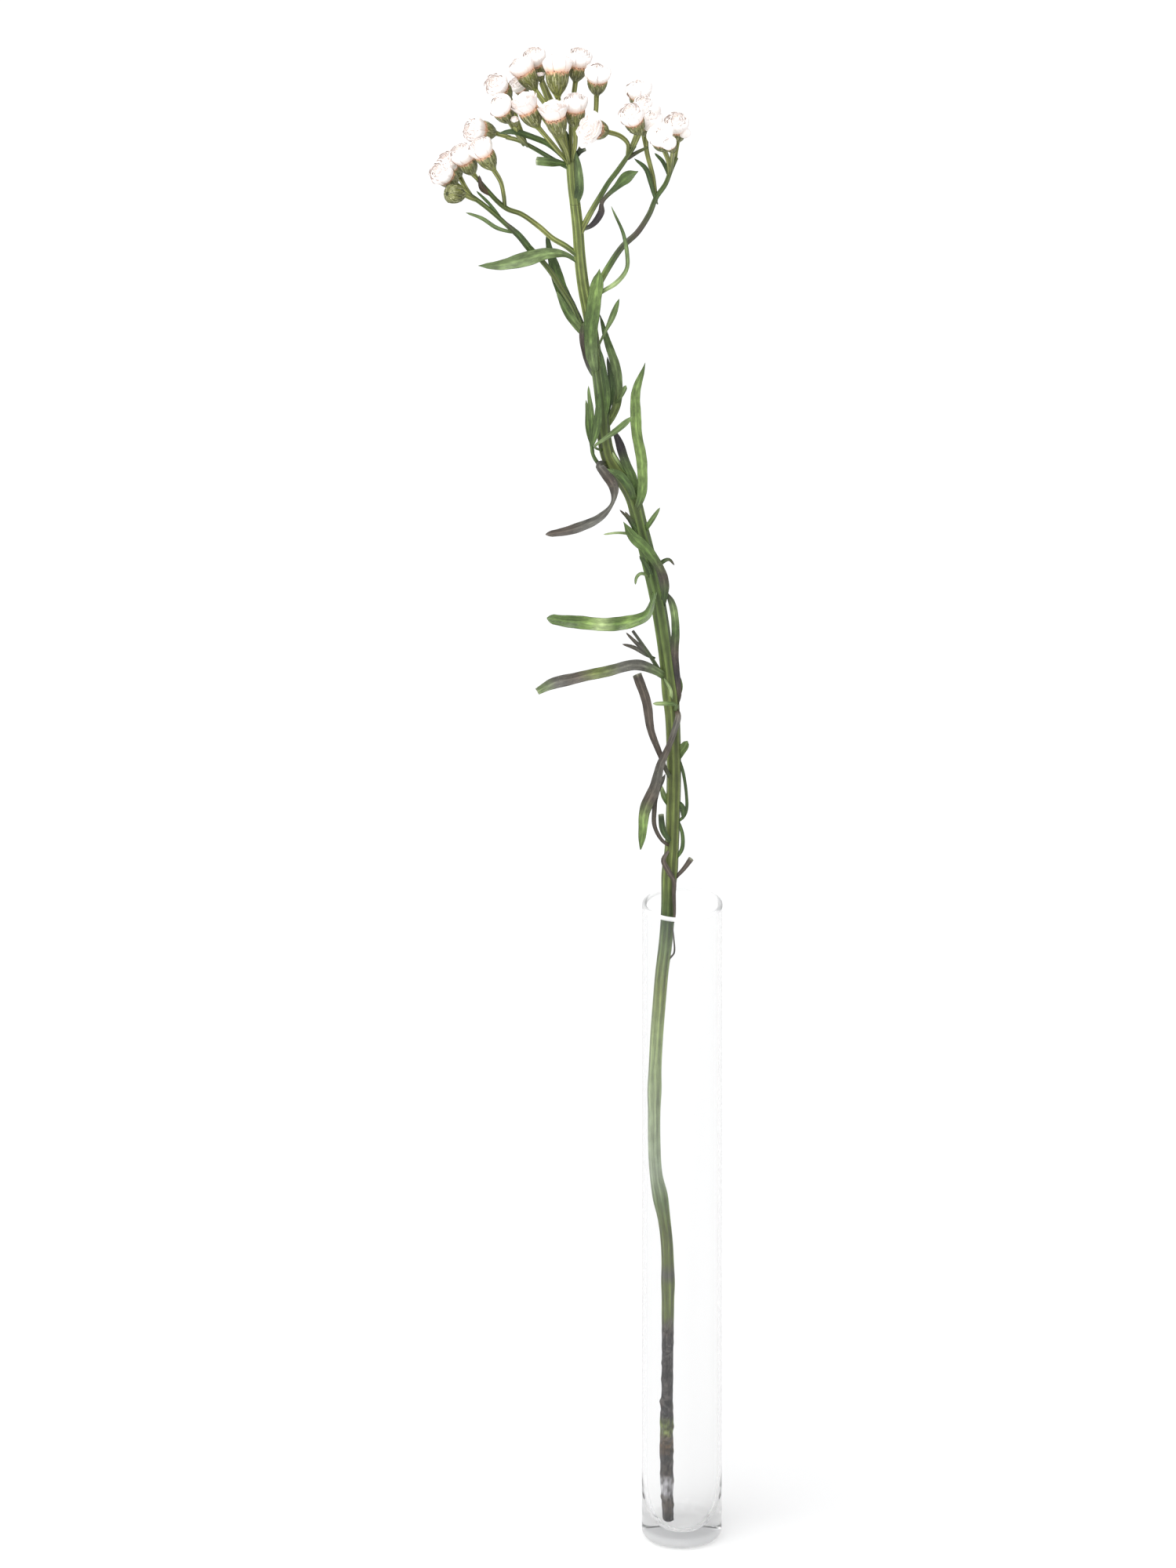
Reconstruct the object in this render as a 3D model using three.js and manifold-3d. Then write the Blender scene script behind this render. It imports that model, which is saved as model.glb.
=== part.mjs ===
// A dried stem of ixodia with its leaves, sprays and papery white heads, in a clear glass tube vase.
// Millimetres, +Z up. The origin is the centre of the vase's flat underside. The sprays spread
// towards -X, and the broad faces of most leaves look towards -Y.

import * as THREE from 'three';
import { mergeVertices } from 'three/addons/utils/BufferGeometryUtils.js';
import Module from 'manifold-3d';

const wasm = await Module();
wasm.setup();

// Driving dimensions

// Room kept between two pieces that touch on the real thing
const CLEARANCE = 0.3;

// Inside, the tube draws in over the bowl depth to a floor in the middle; power 2 would be an ellipse
const VASE = {
  radius: 15, height: 260, wall: 1.6, floor: 3, bowlDepth: 24, bowlPower: 2.6, footRounding: 3,
  rimRounding: 0.5, sides: 32, footSteps: 3, bowlSteps: 6,
};

// The main stem: an end cut level, five low ribs and a node where the middle spray begins
const STEM = { sides: 10, step: 12, ribs: 5, ribHeight: 0.08, topNode: 543.5, trunkStep: 5 };
const STEM_RADII = [
  [6, 2.15], [60, 2.1], [130, 2.2], [200, 2.3], [260, 2.4], [340, 2.6], [400, 2.7], [470, 2.4],
  [520, 2.1], [545, 1.95], [562, 1.8],
];
// Height, extra radius and half length of the swellings where leaves once sat
const STEM_KNOBS = [
  [24, 0.35, 5], [36, 0.45, 5], [47, 0.35, 5], [105, 0.25, 5], [139, 0.5, 6], [183, 0.35, 6],
  [272, 0.4, 6], [345, 0.35, 6], [435, 0.35, 7],
];
const STEM_COURSE = [
  [-5.3, -1, 5.7], [-5.6, -1, 24], [-5.7, -1, 42], [-5.4, -1, 64], [-5.3, -1, 86], [-5.2, -0.5, 105],
  [-5.6, 0, 120], [-6.6, 0, 130], [-8, 0, 139], [-9.7, 0, 149], [-10.4, 0, 164], [-10.4, 0, 179],
  [-10.2, 0, 189], [-9.6, 0, 203], [-8.6, 0.5, 218], [-7.6, 0.5, 231], [-6.2, 1, 243], [-5.4, 1, 254],
  [-5, 1, 267], [-3.9, 1, 282], [-3.4, 1, 297], [-3.2, 1, 315], [-3.7, 1, 334], [-4.7, 1, 346],
  [-6.9, 1, 366], [-9.8, 1.5, 385], [-13.6, 2, 403], [-16, 2, 413], [-18.6, 2, 424], [-21.8, 2, 431],
  [-25.6, 2, 437], [-28, 2, 442], [-29.4, 2, 450], [-30, 2, 462], [-31.1, 2, 472], [-32.6, 1.5, 483],
  [-34.4, 1.5, 496], [-37, 1, 511], [-38.2, 1, 522], [-39, 1, 534], [-40, 0.5, 544], [-41, 0, 553],
  [-41.6, 0, 562],
];

// Blades are diamonds in section: this is their thickness along the midrib
const BLADE = { thickness: 0.9, keel: 0.25, stepsPerPoint: 1 };
const TWIG = { sides: 5, pedicelSides: 4, step: 8, minimumSteps: 2 };

// A head of size 1. The cup is the green bud of overlapping scales, the crown its closed white bracts
const CUP = { columns: 8, foot: 0.9, mouth: 3.4, height: 8.6, scaleLift: 0.35, scaleBulge: 0.06 };
const CLOSED_CAP = [[2.2, 9.6], [0, 10.2]];
const CUP_PROFILE = [[2.4, 1.1], [3.6, 3.0], [3.3, 3.2], [4.1, 5.5], [3.8, 5.7], [4.0, 7.9]];
const CROWN = {
  columns: 6, petals: 5, thickness: 0.9, innerRing: 0.93, bellyCurl: 0.5, leastPetalledSize: 0.5,
};
const CROWN_PROFILE = [[3.3, 0], [3.2, 2.2], [2.3, 4.6]];
const CROWN_HEIGHT = 5.9;
// Radius, height above the crown's underside and half width of a petal at its foot, belly and tip
const PETAL = [[2.6, 0.6, 1.1], [4.3, 2.9, 2.35], [2.1, 6.1, 1.0]];

const FRONT = new THREE.Vector3(0, -1, 0.45);
const UP = new THREE.Vector3(0, 1, 0);

// Finishes

const finish = (color, roughness, extra = {}) =>
  new THREE.MeshStandardMaterial({ color, roughness, metalness: 0, ...extra });
const CLEAR_GLASS = finish(0xf1f5f4, 0.04, { transparent: true, opacity: 0.35 });
const DRIED_STEM = finish(0x7f9458, 0.62);
const DRIED_SPRAY = finish(0x8a9a5c, 0.6);
const PAPERY_BRACT = finish(0xf5f0ea, 0.55);

// Closed bodies

/** The solid inside a closed geometry, turned the right way out. */
function solidOf(geometry) {
  const bare = geometry.index ? geometry.toNonIndexed() : geometry.clone();
  bare.deleteAttribute('normal');
  bare.deleteAttribute('uv');
  const merged = mergeVertices(bare, 1e-4);
  const corners = merged.getAttribute('position').array;
  const faces = Array.from(merged.index.array);
  const kept = [];
  for (let i = 0; i < faces.length; i += 3) {
    const [a, b, c] = faces.slice(i, i + 3);
    if (a !== b && b !== c && c !== a) kept.push([a, b, c]);
  }
  const corner = (i) => new THREE.Vector3().fromArray(corners, 3 * i);
  const volume = kept.reduce((sum, [a, b, c]) => sum + corner(a).dot(corner(b).cross(corner(c))), 0);
  const triangles = volume < 0 ? kept.map(([a, b, c]) => [a, c, b]) : kept;
  return new wasm.Manifold(new wasm.Mesh({
    numProp: 3,
    vertProperties: new Float32Array(corners),
    triVerts: new Uint32Array(triangles.flat()),
  }));
}

/** A named mesh of a finished solid. */
function meshOf(name, solid, material) {
  const { vertProperties, triVerts } = solid.getMesh();
  const geometry = new THREE.BufferGeometry();
  geometry.setAttribute('position', new THREE.BufferAttribute(vertProperties, 3));
  geometry.setIndex(new THREE.BufferAttribute(triVerts, 1));
  geometry.computeVertexNormals();
  const mesh = new THREE.Mesh(geometry, material);
  mesh.name = name;
  return mesh;
}

const joined = (solids) => solids.reduce((whole, solid) => whole.add(solid));

/** A closed body through rings of equal length, with a fan over each end. */
function loft(rings) {
  const count = rings[0].length;
  const faces = [];
  for (let i = 0; i + 1 < rings.length; i += 1) {
    for (let j = 0; j < count; j += 1) {
      const a = i * count + j;
      const b = i * count + ((j + 1) % count);
      faces.push(a, b, b + count, a, b + count, a + count);
    }
  }
  const last = (rings.length - 1) * count;
  for (let j = 1; j + 1 < count; j += 1) {
    faces.push(0, j + 1, j, last, last + j, last + j + 1);
  }
  const geometry = new THREE.BufferGeometry().setFromPoints(rings.flat());
  geometry.setIndex(faces);
  return solidOf(geometry);
}

// Courses and sections

const courseThrough = (points) =>
  new THREE.CatmullRomCurve3(points.map(([x, y, z]) => new THREE.Vector3(x, y, z)), false, 'centripetal');

/** Value at x of a straight-line chart of [x, value] pairs. */
function chart(pairs, x) {
  const next = pairs.findIndex(([at]) => at > x);
  if (next === 0) return pairs[0][1];
  if (next < 0) return pairs[pairs.length - 1][1];
  const [[x0, v0], [x1, v1]] = [pairs[next - 1], pairs[next]];
  return THREE.MathUtils.mapLinear(x, x0, x1, v0, v1);
}

/** A round or ribbed rod along a course, from one fraction of its length to another. */
function rod(course, radiusAt, { sides, steps, from = 0, to = 1, ribs = 0, ribHeight = 0 }) {
  const { normals } = course.computeFrenetFrames(steps);
  const rings = [];
  for (let i = 0; i <= steps; i += 1) {
    const t = THREE.MathUtils.lerp(from, to, i / steps);
    const centre = course.getPointAt(t);
    const nearest = Math.round(t * steps);
    const tangent = course.getTangentAt(t);
    const across = normals[nearest].clone().projectOnPlane(tangent).normalize();
    const along = new THREE.Vector3().crossVectors(tangent, across);
    const ring = [];
    for (let j = 0; j < sides; j += 1) {
      const angle = (2 * Math.PI * j) / sides;
      const radius = radiusAt(t, centre) * (1 + ribHeight * Math.cos(ribs * angle));
      ring.push(centre.clone()
        .addScaledVector(across, radius * Math.cos(angle))
        .addScaledVector(along, radius * Math.sin(angle)));
    }
    rings.push(ring);
  }
  return loft(rings);
}

/** Fraction of a rising course's length at which it reaches a height. */
function fractionAtHeight(course, height) {
  let [low, high] = [0, 1];
  for (let i = 0; i < 30; i += 1) {
    const middle = (low + high) / 2;
    if (course.getPointAt(middle).z < height) low = middle;
    else high = middle;
  }
  return low;
}

/** A twig: a thin tapered rod through points, thinner towards its tip. */
function twig(points, [rootRadius, tipRadius], sides = TWIG.sides) {
  const course = courseThrough(points);
  const steps = Math.max(TWIG.minimumSteps, Math.round(course.getLength() / TWIG.step));
  return rod(course, (t) => THREE.MathUtils.lerp(rootRadius, tipRadius, t), { sides, steps });
}

/** A keeled blade through [x, y, z, width] points, its broad side turned to face a direction. */
function blade(points, face = FRONT) {
  const course = courseThrough(points);
  const steps = Math.round(BLADE.stepsPerPoint * (points.length - 1)) + 1;
  const rings = [];
  for (let i = 0; i <= steps; i += 1) {
    const u = i / steps;
    const knot = Math.min(Math.floor(u * (points.length - 1)), points.length - 2);
    const within = u * (points.length - 1) - knot;
    const half = THREE.MathUtils.lerp(points[knot][3], points[knot + 1][3], within) / 2;
    const centre = course.getPoint(u);
    const tangent = course.getTangent(u);
    const side = new THREE.Vector3().crossVectors(tangent, face).normalize();
    const normal = new THREE.Vector3().crossVectors(side, tangent).normalize();
    const thin = BLADE.thickness / 2;
    const place = (across, out) => centre.clone().addScaledVector(side, across)
      .addScaledVector(normal, out);
    rings.push([place(0, -thin), place(half, BLADE.keel), place(0, thin), place(-half, BLADE.keel)]);
  }
  return loft(rings);
}

// Heads

/** Turns a shape built on +Y so that it stands at a head's foot and along its axis. */
function atHead(geometry, { foot, axis }) {
  const turn = new THREE.Quaternion().setFromUnitVectors(UP, new THREE.Vector3(...axis).normalize());
  return geometry.applyQuaternion(turn).translate(...foot);
}

/** A lathe pushed in and out column by column: relief(column, ring) gives a [factor, lift] pair. */
function reliefLathe(profile, columns, relief) {
  const geometry = new THREE.LatheGeometry(profile.map(([r, h]) => new THREE.Vector2(r, h)), columns);
  const position = geometry.getAttribute('position');
  for (let i = 0; i < position.count; i += 1) {
    const ring = i % profile.length;
    const column = Math.floor(i / profile.length) % columns;
    const [factor, lift] = relief(column, ring);
    position.setXYZ(i, position.getX(i) * factor, position.getY(i) + lift, position.getZ(i) * factor);
  }
  return geometry;
}

/** The green cup: rows of scales in relief, each row's tips between the tips of the row below. */
function cup(head) {
  const size = head.size ?? 1;
  const cap = head.closed ? CLOSED_CAP : [[CUP.mouth, CUP.height], [0, CUP.height]];
  const profile = [[0, 0], [CUP.foot, 0], ...CUP_PROFILE, ...cap].map(([r, h]) => [r * size, h * size]);
  const firstScale = 2;
  const lastScale = firstScale + CUP_PROFILE.length - 1;
  const geometry = reliefLathe(profile, CUP.columns, (column, ring) => {
    if (ring < firstScale || ring > lastScale) return [1, 0];
    const row = Math.floor((ring - firstScale) / 2);
    const tip = (column + row) % 2 === 0 ? 1 : -1;
    return [1 + tip * CUP.scaleBulge, tip * CUP.scaleLift * size];
  });
  return solidOf(atHead(geometry, head));
}

/** The white crown: broad incurved petals round a faceted core, on a flat underside. */
function crown(head) {
  const size = head.size ?? 1;
  const base = CUP.height * size + CLEARANCE;
  const profile = [[0, 0], ...CROWN_PROFILE, [0, CROWN_HEIGHT]]
    .map(([r, h]) => new THREE.Vector2(r * size, base + h * size));
  const core = solidOf(atHead(new THREE.LatheGeometry(profile, CROWN.columns), head));
  const petals = [];
  if (size < CROWN.leastPetalledSize) return core;
  for (let k = 0; k < CROWN.petals; k += 1) {
    const angle = (2 * Math.PI * k) / CROWN.petals;
    const ringScale = k % 2 ? CROWN.innerRing : 1;
    const out = new THREE.Vector3(Math.cos(angle), 0, Math.sin(angle));
    const side = new THREE.Vector3(-Math.sin(angle), 0, Math.cos(angle));
    const rings = PETAL.map(([radius, height, half], i) => {
      const centre = out.clone().multiplyScalar(radius * ringScale).setY(height);
      const flank = side.clone().multiplyScalar(half);
      const thin = out.clone().multiplyScalar(CROWN.thickness / 2);
      const curl = out.clone().multiplyScalar(i === 1 ? -CROWN.bellyCurl : 0);
      return [
        centre.clone().sub(thin), centre.clone().add(flank).add(curl),
        centre.clone().add(thin), centre.clone().sub(flank).add(curl),
      ].map((point) => point.multiplyScalar(size).setY(point.y + base));
    });
    const geometry = new THREE.BufferGeometry().setFromPoints(rings.flat());
    atHead(geometry, head);
    const placed = geometry.getAttribute('position');
    const moved = rings.map((ring, i) => ring.map((_, j) => new THREE.Vector3()
      .fromBufferAttribute(placed, i * ring.length + j)));
    petals.push(loft(moved));
  }
  return joined([core, ...petals]);
}

// The vase

/** A clear tube with a thick flat base, a rounded heel, a bowl-shaped inner floor and a rounded rim. */
function vase() {
  const { radius, height, wall, floor, bowlDepth, bowlPower, footRounding, rimRounding } = VASE;
  const inner = radius - wall;
  const heel = new THREE.EllipseCurve(
    radius - footRounding, footRounding, footRounding, footRounding, -Math.PI / 2, 0,
  ).getPoints(VASE.footSteps);
  const bowl = Array.from({ length: VASE.bowlSteps + 1 }, (_, i) => {
    const turn = (Math.PI / 2) * (i / VASE.bowlSteps);
    const out = Math.cos(turn) ** (2 / bowlPower);
    const down = Math.sin(turn) ** (2 / bowlPower);
    return new THREE.Vector2(inner * out, floor + bowlDepth * (1 - down));
  });
  const profile = [
    new THREE.Vector2(0, 0),
    ...heel,
    new THREE.Vector2(radius, height - rimRounding),
    new THREE.Vector2(radius - rimRounding, height),
    new THREE.Vector2(inner + rimRounding, height),
    new THREE.Vector2(inner, height - rimRounding),
    ...bowl,
  ];
  return solidOf(new THREE.LatheGeometry(profile, VASE.sides).rotateX(Math.PI / 2));
}

// The leafy stem

const stemCourse = courseThrough(STEM_COURSE);
const topNode = fractionAtHeight(stemCourse, STEM.topNode);

/** Radius of the stem at a point on it, with its swellings, made thicker by a margin. */
const stemRadius = (margin = 0) => (t, { z }) => {
  const swelling = STEM_KNOBS.reduce((sum, [at, extra, half]) =>
    sum + extra * Math.exp(-(((z - at) / half) ** 2)), 0);
  return chart(STEM_RADII, z) + swelling + margin;
};

/** The stem up to its top node, as it is or fattened to cut the roots of the sprays clear of it. */
function stem(margin = 0) {
  const steps = Math.round((stemCourse.getLength() * topNode) / STEM.step);
  return rod(stemCourse, stemRadius(margin), {
    sides: STEM.sides, steps, to: topNode, ribs: STEM.ribs, ribHeight: margin ? 0 : STEM.ribHeight,
  });
}

// Each leaf is [x, y, z, width] points from its foot, sunk in the stem, to its tip
const STEM_LEAVES = [
  // Broad upright leaf in front of the upper stem, and its withered sheath
  [[-32.5, -1, 477.5, 2.5], [-34, -3, 485, 4.5], [-34, -5, 496.5, 5.2], [-33, -5, 506.5, 5.3],
    [-31.5, -4.5, 514.5, 4.4], [-31, -4, 519.5, 0.9]],
  [[-32, -0.5, 475, 1.2], [-34.5, -3, 483, 2], [-37, -3, 489.5, 2.4], [-37, -3, 494.5, 2.2],
    [-36, -3, 498.5, 0.8]],
  // Long thin curl on the right, seen on edge, and a small paddle below it
  [[-35.5, 0, 501.5, 1], [-31.5, -3, 508.5, 1.5], [-25, -4, 513.5, 1.8], [-21, -4.5, 519.5, 1.6],
    [-20.5, -5, 525, 1.6], [-22, -5.5, 533.5, 1.4], [-26.5, -5.5, 545.5, 0.7]],
  [[-33.5, 1, 481.5, 0.9], [-29, -1, 492, 1], [-26, -1, 499.5, 2.4], [-23.5, -1, 506, 1]],
  // Cluster on the right of the bend at 460
  [[-29.5, 2, 451.5, 2.5], [-25.5, 3.5, 458.5, 3], [-24, 4.5, 465.5, 3.4], [-24.5, 5, 473.5, 3.6],
    [-27, 5, 483, 3], [-31, 5.5, 497, 0.8]],
  [[-29, 1, 456, 1.2], [-28, -1, 468, 2.4], [-29.5, -1.5, 477.5, 2.2], [-30.5, -1.5, 486, 0.7]],
  [[-28.5, 2, 456, 1.5], [-26.5, 1.5, 470, 2.6], [-28, 1.5, 481.5, 0.8]],
  [[-25.5, 4.5, 461.5, 1.2], [-23, 2, 465, 1], [-21, 0, 470.5, 2]],
  // Long light leaf on the right of the lean at 420, and the leaves in its axil
  [[-18, 2, 418, 2.2], [-16.5, -1, 422.5, 2.4], [-15, -2, 429.5, 3.6], [-15, -2, 438, 3.9],
    [-17, -2, 452.5, 4], [-17.5, -3, 467.5, 3.6], [-14, -5, 482, 0.9]],
  [[-18, 1.5, 421, 3], [-18.5, 0, 432, 3.4], [-21, 1, 438.5, 3.2], [-23.5, 2, 446, 3.2], [-26, 2, 452, 1]],
  [[-19.5, 1, 431.5, 1], [-23.5, 0.5, 438, 1.6], [-26, 0, 443.5, 0.8]],
  [[-18, 1, 423, 1.4], [-19.5, -3.5, 430, 2.8], [-23.5, -4, 436, 3], [-28, -4, 438.5, 0.9]],
  // Three leaflets on the short shoot at 440, and the small leaf that crosses in front
  [[-33.5, -2, 445.5, 1], [-35, -2, 454, 2], [-36, -2, 465.5, 0.8]],
  [[-34, -2.5, 447, 1], [-34, -4.5, 460, 2.2], [-35, -5, 472.5, 0.8]],
  [[-33.5, -2.5, 447, 1], [-31.5, -6, 459, 3], [-31, -6, 470.5, 1]],
  [[-30, 0.5, 444, 1], [-32.5, -3, 447, 0.9], [-29.5, -4.5, 450.5, 1.4], [-22, -5.5, 457, 2.4],
    [-18.5, -6, 460.5, 1]],
  // Long withered leaf that hangs and twists away to the left
  [[-28, 1, 438, 2], [-31, -3, 439.5, 2.8], [-28.5, -4, 436, 3.8], [-25.5, -5, 431, 3.6],
    [-26, -6, 425.5, 1.4], [-31, -7, 420, 3], [-39.5, -8, 416, 3.6], [-51, -9, 414, 1]],
  // Leaflets and thin leaves between 390 and 420
  [[-16.5, 1, 409, 1], [-20, 0, 416, 1.2], [-23.5, 0, 420, 0.7]],
  [[-16.5, 0, 411, 1], [-19.5, -1, 417, 1.2], [-21.5, -1.5, 420, 0.7]],
  [[-16, 0.5, 409.5, 1.2], [-24.5, -3, 412, 0.9], [-29.5, -3, 411.5, 0.7]],
  [[-15, 1.5, 409, 1], [-11.5, 0, 416, 2], [-8.5, 0, 421, 0.8]],
  [[-11, 1, 392.5, 1], [-7.5, 0, 399, 1.6], [-5, 0, 400, 1.2], [-3, 0, 397.5, 0.7]],
  [[-11.5, 0.5, 392.5, 1], [-15.5, -2, 395, 1.2], [-17, -2, 393.5, 1.2], [-17.5, -2, 390.5, 0.7]],
  [[-11, 1, 389.5, 1.2], [-13, -1.5, 397, 2], [-16, -1.5, 402, 0.8]],
  // Two long straps: one up the right side, one on over the front of the stem
  [[-3.5, 1, 339, 2], [-2, 0, 344.5, 3], [-3, 0, 361.5, 3], [-2.5, 0, 371.5, 3], [-4, 0, 382, 2.6],
    [-6, 0, 387, 1.2]],
  [[-7.5, 1, 380, 1.4], [-6.5, -2.5, 390.5, 3.2], [-9.5, -4.5, 400, 3.6], [-14, -5, 407, 4.2],
    [-18.5, -4.5, 411, 4], [-22, -4, 417, 0.9]],
  // Broad glossy leaf to the left at 380
  [[-10, 0, 387.5, 2.4], [-11.5, -4, 383.5, 4], [-13.5, -6, 380, 4.6], [-18.5, -7.5, 378, 4.8],
    [-28, -9, 377.5, 5], [-39.5, -9.5, 378.5, 4.2], [-50.5, -9, 380, 0.9]],
  // Two leaflets on the short shoot at 360
  [[-12, -2.5, 361.5, 1.2], [-16.5, -4, 367, 1.6], [-21, -4, 372, 0.7]],
  [[-12, -2.5, 361.5, 1.2], [-18, -4.5, 366, 1.6], [-22.5, -5, 367.5, 0.7]],
  // Withered leaf to the left at 355 with a cut tip, and the brown strip that hangs behind it
  [[-6, 0.5, 351.5, 2.4], [-11.5, -4.5, 357.5, 3.4], [-17, -7, 360, 4], [-28, -9, 358.5, 4],
    [-39.5, -10, 356, 4.2], [-48, -10, 354, 4.2], [-54, -9, 350, 2.6]],
  [[-4, 0.5, 309.5, 1.4], [-7.5, -3.5, 319.5, 1.8], [-11.5, -5, 332, 2.8], [-14, -5, 346.5, 3.6],
    [-17, -4, 355, 3.4]],
  // Long leaf that crosses the front downwards, with the brown curl and the cut leaf behind it
  [[-2.5, 0, 339, 1.6], [-1.5, -3.5, 337.5, 2.2], [-5, -6, 327, 2.4], [-8, -7, 319.5, 3],
    [-10.5, -7.5, 310, 4.4], [-14, -8, 300.5, 4.2], [-15.5, -9, 285.5, 1.8]],
  [[-4.5, 0, 283, 1], [-7.5, -3.5, 287, 1.4], [-10.5, -5, 294, 1.6], [-10.5, -5.5, 300.5, 1.8],
    [-9.5, -5, 306.5, 1.8], [-6.5, -4.5, 314.5, 1.4]],
  [[-4.5, -1, 285, 1.2], [-7, -3, 290.5, 2.2], [-8, -3, 297.5, 2.2]],
  // Small leaves round the stem between 260 and 350
  [[-3, 0, 337.5, 1.2], [-3, -4, 342.5, 1.4], [-7, -5, 343.5, 1.7], [-11, -5, 343.5, 1.4]],
  [[-2.5, 1, 317, 1.4], [-0.5, 1, 321, 3], [1, 1, 323.5, 3.2], [2, 1, 325.5, 1.8]],
  [[-2.5, 1, 321, 1], [0.5, 1.5, 311.5, 1.2], [1.5, 1, 304, 1.2], [1, 0.5, 296, 1.2], [-2, 0.5, 292, 1]],
  [[-2.5, 1, 301.5, 1], [0, 0.5, 298.5, 2.2], [0.5, 0, 294, 1]],
  [[-2.5, 1, 294.5, 1], [0, 1, 287.5, 1.4], [0, 0, 282, 1.6], [-3, 0.5, 277, 1]],
  [[-4.5, 0.5, 268, 1.6], [-1.5, 0, 271.5, 1.4], [1, 0, 274.5, 1.8], [3.5, 0, 278, 2.2]],
  [[-5, -1, 281.5, 1], [-7, -2.5, 278.5, 1.8], [-5, -3, 273.5, 2], [-3, -2.5, 270, 1.8],
    [-3.5, -1, 264.5, 1]],
  [[-3, 0.5, 340.5, 1], [-0.5, 0, 348, 1.3], [-1, 0, 352.5, 0.7]],
  [[-4, 1.5, 297.5, 1.2], [-7, 1.5, 303, 2.2], [-8, 1.5, 307.5, 0.9]],
  [[-4, -1, 342.5, 1], [-4.5, -3, 348.5, 1.4], [-7, -3.5, 353, 0.8]],
];

// Two short axillary shoots that carry leaflets
const STEM_SHOOTS = [
  [[-27.5, 1, 435], [-31.5, -1, 439.5], [-33.5, -2, 444], [-34, -2, 448.5]],
  [[-7, 0.5, 351.5], [-12.5, -2.5, 362.5], [-18.5, -4, 372.5]],
];
const SHOOT_RADII = [0.85, 0.55];

function leafyStem() {
  const shoots = STEM_SHOOTS.map((points) => twig(points, SHOOT_RADII));
  return joined([stem(), ...shoots, ...STEM_LEAVES.map((points) => blade(points))]);
}

// Sprays: each has a main twig, pedicels, small leaves and heads

// A pedicel thickens towards its head and runs this far into the cup
const PEDICEL_RADII = [0.6, 0.75];
const PEDICEL_SINK = 1;

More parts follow.
